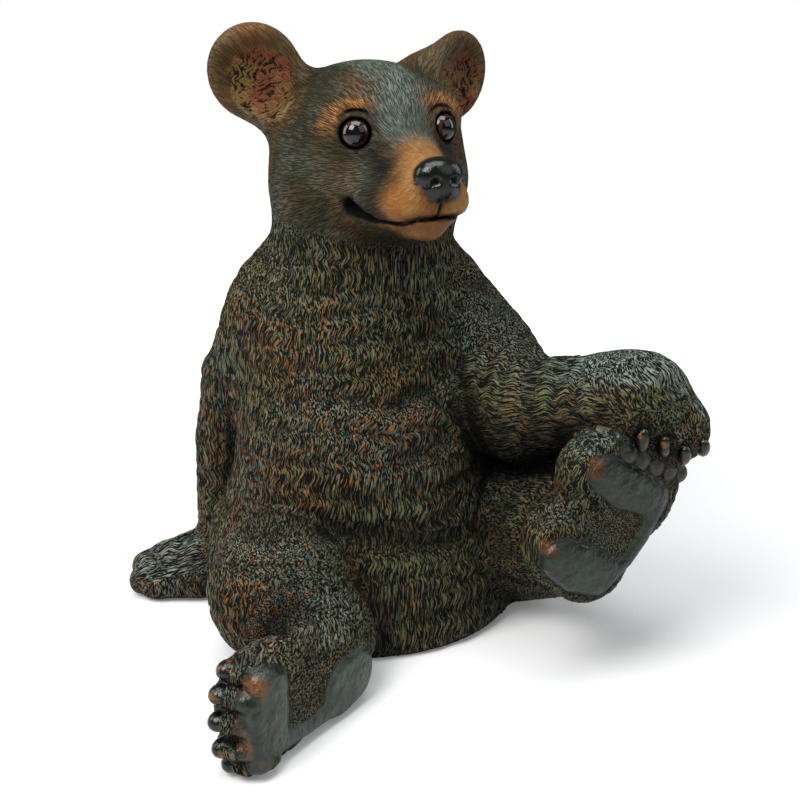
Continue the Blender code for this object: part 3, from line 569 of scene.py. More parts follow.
def surface_net(d, low, step):
    """One vertex in each cell that the surface crosses, and one quad across each crossed edge."""
    inside = d < 0
    cell_shape = np.array(d.shape) - 1
    total = np.zeros(cell_shape, np.int8)
    corners = [(i, j, k) for i in (0, 1) for j in (0, 1) for k in (0, 1)]
    for i, j, k in corners:
        total += inside[i : i + cell_shape[0], j : j + cell_shape[1], k : k + cell_shape[2]]
    active = (total > 0) & (total < 8)
    cells = np.argwhere(active)
    index = np.full(cell_shape, -1, np.int64)
    index[active] = np.arange(len(cells))
    place = np.zeros((len(cells), 3))
    count = np.zeros(len(cells))
    for a in corners:
        for axis in range(3):
            if a[axis]:
                continue
            b = tuple(v + (i == axis) for i, v in enumerate(a))
            da = d[tuple((cells + a).T)]
            db = d[tuple((cells + b).T)]
            crossed = (da < 0) != (db < 0)
            t = np.where(crossed, da / np.where(crossed, da - db, 1), 0)
            place += crossed[:, None] * (cells + a + t[:, None] * (np.array(b) - a))
            count += crossed
    vertices = low + step * place / count[:, None]
    quads = []
    for axis in range(3):
        one, two = (axis + 1) % 3, (axis + 2) % 3
        before = np.moveaxis(inside, axis, 0)[:-1]
        after = np.moveaxis(inside, axis, 0)[1:]
        edges = np.argwhere(np.moveaxis(before != after, 0, axis))
        edges = edges[(edges[:, one] > 0) & (edges[:, two] > 0)]
        e1 = np.eye(3, dtype=int)[one]
        e2 = np.eye(3, dtype=int)[two]
        ring = [index[tuple((edges - x).T)] for x in (e1 + e2, e2, 0 * e1, e1)]
        quad = np.stack(ring, 1)
        outward = inside[tuple(edges.T)]
        quads.append(np.where(outward[:, None], quad, quad[:, ::-1]))
    return vertices, np.concatenate(quads)


def subdivided(vertices, quads):
    """Each quad split in four at its middle and its edge middles."""
    sides = np.stack([quads, np.roll(quads, -1, 1)], -1).reshape(-1, 2)
    pairs, which = np.unique(np.sort(sides, axis=1), axis=0, return_inverse=True)
    which = which.reshape(-1, 4) + len(vertices)
    middles = vertices[pairs].mean(1)
    centres = vertices[quads].mean(1)
    centre = np.arange(len(quads)) + len(vertices) + len(middles)
    new = []
    for k in range(4):
        new.append(np.stack([quads[:, k], which[:, k], centre, which[:, k - 1]], 1))
    return np.concatenate([vertices, middles, centres]), np.concatenate(new)


def slope(field, p, h=0.0006):
    g = np.zeros_like(p)
    for v in ((1, -1, -1), (-1, -1, 1), (-1, 1, -1), (1, 1, 1)):
        v = np.array(v, np.float32)
        g += v * field(p + h * v)[:, None]
    return g / (4 * h)


def settled(field, p, most, rounds=3):
    """Points moved onto the surface, and the outward normals there."""
    p = p.astype(np.float32)
    for _ in range(rounds):
        g = slope(field, p)
        size = np.maximum((g * g).sum(1), 0.2)
        move = g * (field(p) / size)[:, None]
        length = np.maximum(np.linalg.norm(move, axis=1), 1e-9)
        p = p - move * np.minimum(1, most / length)[:, None]
    g = slope(field, p)
    return p, g / np.maximum(np.linalg.norm(g, axis=1), 1e-9)[:, None]


def smooth(a, b, x):
    """0 below a, 1 above b, with soft ends. With a above b it falls instead."""
    t = np.clip((x - a) / (b - a), 0, 1)
    return t * t * (3 - 2 * t)


def units(v):
    """Each row at length 1."""
    return v / np.maximum(np.linalg.norm(v, axis=1), 1e-9)[:, None]


def laid(v, n):
    """Each row turned into the surface whose normal is n, at length 1."""
    return units(v - n * (v * n).sum(1)[:, None])


def wander(p, size, seed):
    """Slow variation over space, between about -1 and 1."""
    rng = np.random.default_rng(seed)
    total = np.zeros(len(p))
    for _ in range(5):
        way = unit(rng.normal(size=3))
        total += np.sin(p @ way * 2 * np.pi / (size * rng.uniform(0.7, 1.4)) + rng.uniform(0, 6.28))
    return total / 2.6


def close(p, points, reach):
    """1 at a line of points, falling to 0 at its reach."""
    d, _ = along(p, np.asarray(points, float))
    return smooth(reach, reach * 0.45, d)


def run_of(p, points, start):
    """Distance run along a line of points, at the place of the line nearest to each point."""
    points = np.asarray(points, float)
    best = np.full(len(p), FAR)
    run = np.zeros(len(p))
    before = start
    for a, b in zip(points[:-1], points[1:]):
        length = np.linalg.norm(b - a)
        way = (b - a) / length
        h = (p - a) @ way
        d = np.linalg.norm(p - a - np.clip(h, 0, length)[:, None] * way, axis=1)
        run = np.where(d < best, before + h, run)
        best = np.minimum(best, d)
        before += length
    return run


# Centre lines along which the coat turns away from straight down: points, reach, start of run
LEFT_FOREARM = ([(0.200, -0.19, 0.400), (0.29, -0.318, 0.430), (0.335, -0.385, 0.430)], 0.15, 0.32)
LEFT_SHIN = ([(0.25, -0.22, 0.19), (0.27, -0.38, 0.22)], 0.15, 0.50)
RIGHT_SHIN = ([(-0.185, -0.28, 0.10), (-0.22, -0.42, 0.08)], 0.13, 0.62)
RIGHT_HAND = ([(-0.255, 0.13, 0.060), (-0.39, 0.15, 0.035)], 0.09, 0.66)
LEFT_HAND = ([(0.325, -0.365, 0.47), (0.345, -0.420, 0.44), (0.35, -0.45, 0.38)], 0.115, 0.50)
LAY = (LEFT_FOREARM, LEFT_SHIN, RIGHT_SHIN, RIGHT_HAND, LEFT_HAND)
# Where a surface faces up, the coat lies towards the front
TOP_WAY = np.array([-0.30, -0.95, 0.0]) / np.hypot(0.30, 0.95)


def way_of(points):
    """Direction from the first to the last point of a line."""
    return unit(np.array(points[-1]) - np.array(points[0]))


def head_part(p):
    """Head axes coordinates, and how far each point belongs to the head."""
    q = (p - HEAD_AT) @ HEAD.T
    neck = 0.088 + 0.35 * q[:, 1]
    return q, smooth(-neck - 0.045, -neck + 0.02, q[:, 2])


def lie_of_coat(p, n):
    """The direction in which the coat lies, and the run along it that sets the rows of strokes."""
    flow = np.tile(np.array([0.0, 0.0, -1.0]), (len(p), 1))
    run = 0.72 - p[:, 2]
    tops = smooth(0.70, 0.92, n[:, 2])
    flow = flow + tops[:, None] * (TOP_WAY - flow)
    shares = [tops]
    for points, reach, start in LAY:
        w = close(p, points, reach)
        shares.append(w)
        flow = flow + w[:, None] * (way_of(points) - flow)
        run = run + w * (run_of(p, points, start) - run)
    q, on_head = head_part(p)
    from_nose = units((q - np.array([0, 0.30, -0.03])) @ HEAD)
    flow = flow + on_head[:, None] * (from_nose - flow)
    flow = flow - n * (flow * n).sum(1)[:, None]
    weak = np.linalg.norm(flow, axis=1) < 0.08
    flow = np.where(weak[:, None], np.cross(n, np.array([1.0, 0.3, 0.1])), flow)
    return units(flow), run, shares


def sole_part(p, foot_place):
    """Coordinates on a sole: along it, across it and out of it."""
    heel, forward, sole, inner = foot_place
    r = p - np.array(heel)
    return r @ unit(forward), r @ unit(inner), r @ unit(sole)


def on_arches(p, reach=(-0.03, 0.04)):
    """For each foot, which points lie on the furry middle of its sole."""
    found = []
    for place in (RIGHT_FOOT, LEFT_FOOT):
        u, v, t = sole_part(p, place)
        inside = (u > -0.02) & (u < 0.26) & (v > -0.03) & (v < 0.21)
        found.append(inside & (t > reach[0]) & (t < reach[1]))
    return found


# Where the paint of a sole is rubbed back to rust: distance from the heel, height across, reach
RIGHT_STAINS = ((0.262, 0.140, 0.016), (0.235, 0.118, 0.010), (0.285, 0.060, 0.012))
LEFT_STAINS = ((0.166, 0.190, 0.014), (0.152, 0.186, 0.011), (0.026, 0.170, 0.013))


def within(coords, centre, radii):
    """Below 1 inside an ellipsoid, 1 on it and above 1 outside."""
    return sum(((x - at) / radius) ** 2 for x, at, radius in zip(coords, centre, radii))


def bare_parts(p):
    """Masks of the bare parts: soles, glossy claws, toe pads, nose, and the rust on the soles."""
    sole = np.zeros(len(p))
    gloss = np.zeros(len(p))
    toe = np.zeros(len(p))
    stain = np.zeros(len(p))
    for place, chains, toes, stains, lower, radii in (
        (RIGHT_FOOT, RIGHT_PADS, RIGHT_TOES, RIGHT_STAINS, (0.001, 0, -0.025), (0.021, 0.017, 0.019)),
        (LEFT_FOOT, LEFT_PADS, LEFT_TOES, LEFT_STAINS, (0, 0, -0.016), (0.0175, 0.0195, 0.0175)),
    ):
        u, v, t = foot = sole_part(p, place)
        near_sole = (u > -0.06) & (u < 0.36) & (v > -0.08) & (v < 0.24) & (t > -0.14) & (t < 0.06)
        d = np.full(len(p), FAR)
        d[near_sole] = pads(place, chains)(p[near_sole].astype(np.float32))
        sole = np.maximum(sole, smooth(0.0026, 0.0006, d))
        for at in toes:
            toe = np.maximum(toe, smooth(1.25, 1.02, within(foot, np.add(at, lower), radii)))
            if place is RIGHT_FOOT:
                nail = within(foot, toe_claw(*at), (0.0182, 0.0145, 0.0157))
                gloss = np.maximum(gloss, smooth(1.22, 1.04, nail))
        for su, sv, reach in stains:
            spot = smooth(reach, reach * 0.3, np.hypot(u - su, v - sv)) * (t > -0.03)
            stain = np.maximum(stain, spot)
    for i, (root, tip) in enumerate(CLAWS):
        nail = claw(root, tip, 0.75 if i == 0 else 1.0)
        gloss = np.maximum(gloss, smooth(0.0022, 0.0010, nail(p)))
    q, _ = head_part(p)
    upper = within(q.T, (0, 0.275, -0.018), (0.039, 0.028, 0.026))
    under = within(q.T, (0, 0.275, -0.035), (0.032, 0.026, 0.0252))
    return sole, gloss, toe, smooth(1.12, 1.0, np.minimum(upper, under)), stain


def ear_part(p):
    """Mask of the hollow of both ears, and the direction from its base outward."""
    mask = np.zeros(len(p))
    out = np.zeros((len(p), 3))
    for s, at, r, _, low in EARS:
        axes = ear_axes(s)
        rel = (p - hp(*at)) @ axes.T
        reach = np.hypot(rel[:, 0] - low[0], rel[:, 2] - low[1])
        front = smooth(-0.030, -0.016, rel[:, 1]) * (np.hypot(rel[:, 0], rel[:, 2]) < r * 1.3)
        mask = np.maximum(mask, smooth(0.060, 0.046, reach) * front)
        way = np.stack([rel[:, 0] + s * -0.035, 0 * reach, rel[:, 2] + 0.045], 1) @ axes
        here = (np.hypot(rel[:, 0], rel[:, 2]) < 0.1)[:, None]
        out = np.where(here, way, out)
    return mask, out


def pairs(a, b, reach):
    """Indices (i, j) of all points of a and b nearer than the reach, found on a grid of cells."""
    low = np.minimum(a.min(0), b.min(0)) - reach
    side = np.ceil((np.maximum(a.max(0), b.max(0)) - low) / reach).astype(np.int64) + 2
    cell_a = ((a - low) / reach).astype(np.int64)
    cell_b = ((b - low) / reach).astype(np.int64)
    key_b = (cell_b[:, 0] * side[1] + cell_b[:, 1]) * side[2] + cell_b[:, 2]
    order = np.argsort(key_b, kind="stable")
    sorted_keys = key_b[order]
    found_i, found_j = [], []
    for x in (-1, 0, 1):
        for y in (-1, 0, 1):
            key = ((cell_a[:, 0] + x) * side[1] + cell_a[:, 1] + y) * side[2] + cell_a[:, 2]
            start = np.searchsorted(sorted_keys, key - 1)
            stop = np.searchsorted(sorted_keys, key + 1, side="right")
            count = stop - start
            i = np.repeat(np.arange(len(a)), count)
            first = np.repeat(np.cumsum(count) - count, count)
            j = order[np.repeat(start, count) + np.arange(len(i)) - first]
            near_enough = ((a[i] - b[j]) ** 2).sum(1) < reach * reach
            found_i.append(i[near_enough])
            found_j.append(j[near_enough])
    return np.concatenate(found_i), np.concatenate(found_j)


def thinned(places, ways, sides, bends, long, wide, seed):
    """Which of the candidate strokes stay, so that none lies within another's ellipse."""
    reach = float(long.max())
    i, j = pairs(places, places, reach)
    keep = i < j
    i, j = i[keep], j[keep]
    rel = places[j] - places[i]
    u = (rel * ways[i]).sum(1) / np.minimum(long[i], long[j])
    v = ((rel * sides[i]).sum(1) - bends[j] + bends[i]) / np.minimum(wide[i], wide[j])
    clash = u * u + v * v < 1
    i, j = i[clash], j[clash]
    rank = np.random.default_rng(seed).permutation(len(places))
    waiting = np.ones(len(places), bool)
    chosen = np.zeros(len(places), bool)
    for _ in range(40):
        live = waiting[i] & waiting[j]
        i, j = i[live], j[live]
        beaten = np.zeros(len(places), bool)
        beaten[np.where(rank[i] > rank[j], i, j)] = True
        winners = waiting & ~beaten
        chosen |= winners
        waiting &= ~winners
        lost = np.concatenate([j[winners[i]], i[winners[j]]])
        waiting[lost] = False
        if not waiting.any():
            break
    return chosen


# Work on the strokes in bands of this height, this many at a time; no stroke reaches farther
BAND = 0.03
BATCH = 700
LONGEST = 0.017


def coat(p, n, bare, ear):
    """The carved strokes: their height in metres, crest share, sideways sway, lay shares and rows."""
    m = p * HEIGHT
    flow, run, shares = lie_of_coat(p, n)
    q, on_head = head_part(p)
    ear_mask, ear_out = ear
    in_ear = ear_mask > 0.3
    flow = np.where(in_ear[:, None], laid(ear_out, n), flow)
    # Bend of the rows
    phase = 2 * np.pi * run * HEIGHT / ROW + 1.6 * wander(p, 0.30, 1) + 1.1 * wander(p, 0.13, 2)
    phase = phase + 0.9 * wander(p, 0.07, 4)
    swing = 0.52 + 0.38 * wander(p, 0.11, 3)
    swing = np.where(in_ear, 0.8, swing) * (1 - 0.7 * on_head * (~in_ear))
    phase = np.where(in_ear, phase * 1.8 + 2.0 * wander(p, 0.05, 5), phase)
    bend = -swing * ROW / (2 * np.pi) / np.where(in_ear, 1.8, 1.0) * np.cos(phase)
    # Stroke sizes by region
    fine = np.zeros(len(p))
    for points, reach, _ in (LEFT_HAND, RIGHT_HAND):
        fine = np.maximum(fine, close(p, points, reach))
    for place, on_arch in zip((RIGHT_FOOT, LEFT_FOOT), on_arches(p)):
        fine = np.maximum(fine, on_arch * 1.0)
        flow = laid(np.where(on_arch[:, None], unit(place[3]), flow), n)
    side = np.cross(n, flow)
    half_long = 0.0125 - 0.0055 * fine - 0.0050 * on_head
    half_wide = 0.00205 - 0.0004 * fine - 0.0007 * on_head
    high = 0.0014 - 0.0005 * fine - 0.0010 * on_head
    half_long = np.where(in_ear, 0.0075, half_long)
    half_wide = np.where(in_ear, 0.0016, half_wide)
    high = np.where(in_ear, 0.0012, high)
    on_muzzle = smooth(0.135, 0.16, q[:, 1]) * on_head
    smooth_skull = smooth(0.75, 0.95, on_head) * (~in_ear)
    high = high * (1 - np.maximum.reduce([bare, on_muzzle, smooth_skull]))
    # Candidates near the middle of each row
    rng = np.random.default_rng(11)
    middle = np.abs((phase / (2 * np.pi)) % 1 - 0.5)
    loose = np.maximum(fine, np.maximum(on_head, in_ear))
    may = (high > 0.0004) & (rng.random(len(p)) < 150000 / len(p)) & (middle < 0.24 + 0.3 * loose)
    c = np.flatnonzero(may)
    chosen = thinned(m[c], flow[c], side[c], bend[c], half_long[c] * 1.1, half_wide[c] * 1.35, 3)
    seeds = c[chosen]
    # Height of every stroke over the points near it
    crest = np.zeros(len(p))
    long_here = half_long[seeds] * rng.uniform(0.85, 1.15, len(seeds))
    order = np.lexsort((m[seeds, 0], np.round(m[seeds, 2] / BAND)))
    for start in range(0, len(seeds), BATCH):
        batch = order[start : start + BATCH]
        low = m[seeds[batch]].min(0) - LONGEST
        top = m[seeds[batch]].max(0) + LONGEST
        nearby = np.flatnonzero(((m > low) & (m < top)).all(1))
        i, j = pairs(m[seeds[batch]], m[nearby], float(long_here[batch].max()))
        k, point = batch[i], nearby[j]
        s = seeds[k]
        rel = m[point] - m[s]
        t = (rel * flow[s]).sum(1) / long_here[k] * 0.5 + 0.5
        off = (rel * side[s]).sum(1)
        facing = (n[point] * n[s]).sum(1) > 0.3
        taper = 0.35 + 0.65 * np.sqrt(np.clip(np.sin(np.pi * np.clip(t, 0, 1)), 0, 1))
        across = 1 - ((off - bend[point] + bend[s]) / (half_wide[s] * taper)) ** 2
        rise = smooth(0.0, 0.22, t) * (0.78 + 0.22 * t) * smooth(1.0, 0.86, t)
        narrow = np.abs(off) < 4 * half_wide[s]
        value = np.where(facing & narrow & (t > 0) & (t < 1), np.clip(across, 0, 1) * rise, 0)
        np.maximum.at(crest, point, value)
    # Rows: they raise the coat a little, and the paint darkens between them as painted shade
    uneven = phase + 0.5 + 1.3 * wander(p, 0.055, 6) + 0.8 * wander(p, 0.025, 7)
    row = np.clip(0.5 - 0.5 * np.cos(uneven) + 0.25 * wander(p, 0.09, 8), 0, 1)
    row = row * (1 - on_head) * (1 - bare) * (~in_ear)
    raised = crest * high + ROW_HIGH * row * np.clip(high / 0.001, 0, 1)
    row = np.where(on_head + bare + in_ear > 0.5, 1.0, row)
    return raised, crest, side * bend[:, None], shares, row


def occlusion(field, p, n):
    """How open each point is, from 0 in a deep fold to 1 on a free surface."""
    open_share = np.zeros(len(p))
    for far, weight in ((0.012, 0.25), (0.028, 0.30), (0.055, 0.25), (0.10, 0.20)):
        d = field((p + far * n).astype(np.float32))
        open_share += weight * np.clip(d / far, 0, 1)
    return open_share


def bear_mesh():
    """The bear's fine mesh in metres, with its point values."""
    field = bear_form()
    step = GRID / HEIGHT
    low, high = np.array([-0.47, -0.62, -0.03]), np.array([0.49, 0.36, 1.03])
    values = unpinched(sampled(field, low, high, step))
    p, quads = surface_net(values, low, step)
    p, _ = settled(field, p, step / 2, 2)
    for level in range(FINE_STEPS):
        coarse_quads = quads
        p, quads = subdivided(p, quads)
        p, n = settled(field, p, step / 3, 1)
        if level == 0:
            openness = occlusion(field, p, n)
            continue
        sides = np.stack([coarse_quads, np.roll(coarse_quads, -1, 1)], -1).reshape(-1, 2)
        ends = np.unique(np.sort(sides, axis=1), axis=0)
        middles = openness[ends].mean(1), openness[coarse_quads].mean(1)
        openness = np.concatenate([openness, *middles])
    p, n = p.astype(float), n.astype(float)
    return p, n, quads, openness


def face_paint(p):
    """Masks of the painted face: tan muzzle and brows, rosy lip, the black lines, and black in the
    hollows as painted shade.
    """
    q, on_head = head_part(p)
    x, y, z = q.T
    side = np.abs(x)
    ahead = y + 0.035 * smooth(0.040, 0.015, side) + 0.10 * side - 0.15 * np.clip(z, 0, 1)
    muzzle = smooth(0.198, 0.240, ahead) * on_head
    muzzle *= smooth(0.092, 0.066, np.hypot(side, 1.1 * (z + 0.045)))
    eye_x, _, eye_z = EYE_PLACE
    around = np.hypot(side - eye_x, z - eye_z)
    turned = np.arctan2(z - eye_z, side - eye_x)
    brow = smooth(0.058, 0.044, around) * smooth(0.029, 0.036, around)
    brow *= smooth(-0.15, 0.35, turned) * smooth(2.35, 1.75, turned) * smooth(0.05, 0.08, y) * on_head
    # Painted shade: black in and around the hollow at each mouth corner, reaching past its cut, and
    # in each nostril
    corner = np.zeros(len(p))
    for s in (-1, 1):
        pit = np.array([(s * x, y - 0.002, z) for x, y, z in MOUTH_CORNER])
        d, part = along(q, pit)
        corner = np.maximum(corner, smooth(0.0195, 0.0180, d + 0.010 * part))
        hole = np.linalg.norm((q - (s * 0.0145, 0.294, -0.027)) / (1.0, 1.6, 0.9), axis=1)
        corner = np.maximum(corner, smooth(0.0068, 0.0056, hole))
    mouth_yz = np.array(MOUTH)[:, 1:]
    d, _ = along(q[:, 1:], mouth_yz)
    line = smooth(0.0038, 0.0012, d) * (side < 0.075) * on_head
    lip = smooth(0.015, 0.006, np.abs(z + 0.098)) * smooth(0.17, 0.20, y) * on_head * (z < -0.083)
    split, _ = along(q[:, [0, 2]], np.array([(0, -0.050), (0, -0.078)]))
    line = np.maximum(line, smooth(0.0030, 0.0012, split) * (y > 0.24))
    lid = np.zeros(len(p))
    for at, look in eye_frames():
        rel = (p - at) @ look.T
        r = np.hypot(rel[:, 0], rel[:, 2])
        front = rel[:, 1] > -0.03
        lid = np.maximum(lid, smooth(EYE_SHARE + 0.0026, EYE_SHARE + 0.0012, r) * front)
        crease = np.array(lid_crease())[:, [0, 2]]
        off, part = along(rel[:, [0, 2]], crease)
        ends = smooth(0, 0.25, np.minimum(part, 1 - part))
        lid = np.maximum(lid, 0.85 * smooth(0.0034, 0.0012, off) * ends * front)
    return muzzle, brow, lip, np.maximum.reduce([corner, line, lid])


def nearest(points, targets):
    """Index of the point nearest to each target."""
    tree = KDTree(len(points))
    for i, point in enumerate(points.tolist()):
        tree.insert(point, i)
    tree.balance()
    return np.array([tree.find(t)[1] for t in targets.tolist()])


def mesh_object(name, vertices, faces):
    mesh = bpy.data.meshes.new(name)
    mesh.vertices.add(len(vertices))
    mesh.vertices.foreach_set("co", np.asarray(vertices, np.float32).ravel())
    corners = faces.shape[1]
    mesh.loops.add(faces.size)
    mesh.loops.foreach_set("vertex_index", np.asarray(faces, np.int32).ravel())
    mesh.polygons.add(len(faces))
    mesh.polygons.foreach_set("loop_start", np.arange(0, faces.size, corners, dtype=np.int32))
    mesh.update(calc_edges=True)
    obj = bpy.data.objects.new(name, mesh)
    bpy.context.scene.collection.objects.link(obj)
    return obj


def applied(obj):
    graph = bpy.context.evaluated_depsgraph_get()
    mesh = bpy.data.meshes.new_from_object(obj.evaluated_get(graph))
    obj.modifiers.clear()
    obj.data = mesh
    return obj


def give(obj, name, values):
    attribute = obj.data.attributes.new(name, "FLOAT", "POINT")
    attribute.data.foreach_set("value", np.asarray(values, np.float32))


class Nodes:
    """Short ways to build a material's node tree."""

    def __init__(self, name):
        self.material = bpy.data.materials.new(name)
        self.material.use_nodes = True
        self.tree = self.material.node_tree
        self.shader = self.tree.nodes["Principled BSDF"]

    def put(self, socket, value):
        if isinstance(value, bpy.types.NodeSocket):
            self.tree.links.new(value, socket)
        elif socket.type == "RGBA":
            value = value if isinstance(value, tuple) else (value,) * 3
            socket.default_value = (*value, 1.0)
        else:
            socket.default_value = value

    def attribute(self, name, output="Fac"):
        node = self.tree.nodes.new("ShaderNodeAttribute")
        node.attribute_name = name
        return node.outputs[output]

    def place(self):
        return self.tree.nodes.new("ShaderNodeTexCoord").outputs["Object"]

    def math(self, operation, a, b=0.0):
        node = self.tree.nodes.new("ShaderNodeMath")
        node.operation = operation
        self.put(node.inputs[0], a)
        self.put(node.inputs[1], b)
        return node.outputs[0]

    def times(self, a, b):
        return self.math("MULTIPLY", a, b)

    def plus(self, a, b):
        return self.math("ADD", a, b)

    def ramp(self, value, low, high, to_low=0.0, to_high=1.0):
        node = self.tree.nodes.new("ShaderNodeMapRange")
        node.interpolation_type = "SMOOTHSTEP"
        for socket, v in zip(node.inputs[:5], (value, low, high, to_low, to_high)):
            self.put(socket, v)
        return node.outputs[0]

    def mix(self, share, a, b, blend="MIX"):
        node = self.tree.nodes.new("ShaderNodeMix")
        node.data_type = "RGBA"
        node.blend_type = blend
        self.put(node.inputs[0], share)
        self.put(node.inputs[6], a)
        self.put(node.inputs[7], b)
        return node.outputs[2]

    def layers(self, base, coats):
        """Paint in layers: a share and a colour for each coat over the base."""
        for share, paint in coats:
            base = self.mix(share, base, paint)
        return base

    def noise(self, size, detail, vector=None):
        node = self.tree.nodes.new("ShaderNodeTexNoise")
        self.put(node.inputs["Vector"], vector if vector is not None else self.place())
        node.inputs["Scale"].default_value = 1.0 / size
        node.inputs["Detail"].default_value = detail
        return node.outputs["Fac"]

    def lerp(self, share, a, b):
        node = self.tree.nodes.new("ShaderNodeMix")
        self.put(node.inputs[0], share)
        self.put(node.inputs[2], a)
        self.put(node.inputs[3], b)
        return node.outputs[0]

    def minus(self, a, b):
        node = self.tree.nodes.new("ShaderNodeVectorMath")
        node.operation = "SUBTRACT"
        self.put(node.inputs[0], a)
        self.put(node.inputs[1], b)
        return node.outputs[0]

    def drawn(self, place, way, across, length):
        """Coordinates that a noise fills with streaks along the given direction."""
        a = unit(np.cross(way, (0.31, 0.22, 0.11)))
        b = np.cross(way, a)
        node = self.tree.nodes.new("ShaderNodeMapping")
        node.vector_type = "TEXTURE"
        self.put(node.inputs["Vector"], place)
        node.inputs["Rotation"].default_value = Matrix((a, b, way)).transposed().to_euler()
        node.inputs["Scale"].default_value = (across, across, length)
        return node.outputs[0]

    def hairs(self, place, across, length):
        """Streaks that follow the coat, region by region."""
        value = self.noise(1.0, 2.0, self.drawn(place, (0, 0, -1), across, length))
        for i, way in enumerate([TOP_WAY] + [way_of(points) for points, reach, start in LAY]):
            here = self.noise(1.0, 2.0, self.drawn(place, way, across, length))
            value = self.lerp(self.ramp(self.attribute(f"lay_{i}"), 0.35, 0.65), value, here)
        return value

    def bump(self, height, distance):
        node = self.tree.nodes.new("ShaderNodeBump")
        node.inputs["Strength"].default_value = 1.0
        node.inputs["Distance"].default_value = distance
        self.put(node.inputs["Height"], height)
        self.put(self.shader.inputs["Normal"], node.outputs[0])


def coat_material(name, shine):
    """Painted resin: dark grooves, dry-brushed crests, and the bare and painted parts by mask, with
    painted shade and painted top light in its colour.
    """
    m = Nodes(name)
    crest, head, warm, cool = (m.attribute(part) for part in ("crest", "head", "warm", "cool"))
    bare_parts_and_ink = ("sole", "toe", "gloss", "nose", "ink")
    sole, toe, gloss, nose, ink = (m.attribute(part) for part in bare_parts_and_ink)
    swayed = m.minus(m.place(), m.attribute("sway", "Vector"))
    body_hair = m.ramp(m.hairs(swayed, HAIR_ACROSS, HAIR_LENGTH), 0.45, 0.55)
    head_hair = m.ramp(m.noise(1.0, 1.5, m.attribute("hair", "Vector")), 0.38, 0.58)
    head_groove = m.math("SUBTRACT", 1.0, head_hair)
    grain = m.noise(0.0018, 2.0)
    blotch = m.noise(0.035, 3.0)
    patch = m.noise(1.0, 2.0, m.drawn(swayed, (0, 0, -1), 0.0026, 0.009))
    rubbed = m.ramp(m.noise(0.008, 3.0), 0.50, 0.66)
    # The crests of the coat, and how far they stand out of the dark grooves, which paints shade low
    # on each stroke, between the rows and in the folds
    crests = m.layers(OLIVE, (
        (m.ramp(blotch, 0.35, 0.65), BROWN),
        (m.ramp(m.plus(patch, m.times(cool, 0.20)), 0.56, 0.70), BLUE_GREY),
        (m.ramp(m.math("SUBTRACT", m.times(warm, 0.12), patch), -0.385, -0.30), RUST),
        # Painted top light on the crests that face up
        (m.attribute("painted_top_light"), PAINTED_TOP_LIGHT),
    ))
    # Painted shade: darker low on each stroke, between the rows and in the folds
    relief = m.plus(m.times(crest, 0.6), 0.40)
    relief = m.times(relief, m.ramp(m.attribute("row"), 0.0, 0.7, 0.80, 1.0))
    relief = m.times(relief, m.ramp(m.attribute("fold"), 0.1, 0.9, 1.0, 0.40))
    head_coat = m.layers(HEAD_OLIVE, (
        (m.ramp(blotch, 0.38, 0.62), HEAD_BROWN),
        (m.times(cool, 0.9), HEAD_BLUE),
        (m.times(warm, 0.8), HEAD_RUST),
        (m.times(head_groove, m.attribute("drawn")), HEAD_DARK),
    ))
    tan = m.layers(TAN, (
        (m.times(head_groove, 0.30), TAN_DARK),
        (m.times(m.ramp(blotch, 0.33, 0.62), 0.8), TAN_LIGHT),
    ))
    tufts = m.ramp(m.plus(crest, m.math("SUBTRACT", grain, 0.5)), 0.05, 0.75)
    ear_hollow = m.mix(tufts, EAR_DARK, m.mix(m.ramp(blotch, 0.40, 0.60), EAR_RED, EAR_GOLD))
    colour = m.layers(m.mix(m.times(body_hair, relief), GROOVE, crests), (
        (head, head_coat),
        (m.attribute("muzzle"), tan),
        (m.attribute("brow"), m.mix(head_hair, BROW_DARK, BROW)),
        (m.attribute("lip"), LIP),
        (m.attribute("ear"), ear_hollow),
        (sole, m.mix(m.ramp(blotch, 0.35, 0.7), SOLE_DARK, SOLE)),
        (toe, m.mix(m.times(rubbed, 0.35), SOLE_DARK, STAIN)),
        (m.times(m.attribute("stain"), m.ramp(grain, 0.30, 0.55)), STAIN),
        (gloss, m.mix(m.times(rubbed, 0.9), CLAW, STAIN)),
        (nose, NOSE),
    ))
    shade = m.ramp(m.attribute("opening"), 0.22, 0.95, 0.05, 1.0)
    # Shade by openness is painted in, then black: the painted lines, and painted shade in the hollows
    # of the mouth corners and nostrils
    m.put(m.shader.inputs["Base Color"], m.mix(ink, m.mix(1.0, colour, shade, "MULTIPLY"), INK_AND_HOLE_SHADE))
    # Roughness and relief
    hair = m.lerp(head, body_hair, head_hair)
    rough = m.ramp(m.plus(hair, m.times(grain, 0.4)), 0.2, 1.2, 0.85, 0.34)
    worn = m.ramp(m.noise(0.012, 3.0), 0.35, 0.65, 0.24, 0.42)
    pads_share = m.math("MAXIMUM", sole, toe)
    for share, level in ((pads_share, worn), (gloss, 0.20), (nose, 0.14), (ink, 0.90)):
        rough = m.lerp(share, rough, level)
    m.put(m.shader.inputs["Roughness"], rough)
    m.shader.inputs["Specular IOR Level"].default_value = shine
    furry = m.math("SUBTRACT", 1.0, m.attribute("bare"))
    height = m.times(hair, m.times(furry, m.lerp(head, 1.0, 0.45)))
    height = m.plus(height, m.times(grain, 0.12))
    m.bump(m.plus(height, m.times(sole, m.noise(0.009, 2.0))), HAIR_HIGH)
    return m.material


# Carved hairs between the modelled strokes: share of their pitch, their length and their relief
HAIR_ACROSS = 0.00135
HAIR_LENGTH = 0.0160
HAIR_HIGH = 0.0023
ROW_HIGH = 0.0008

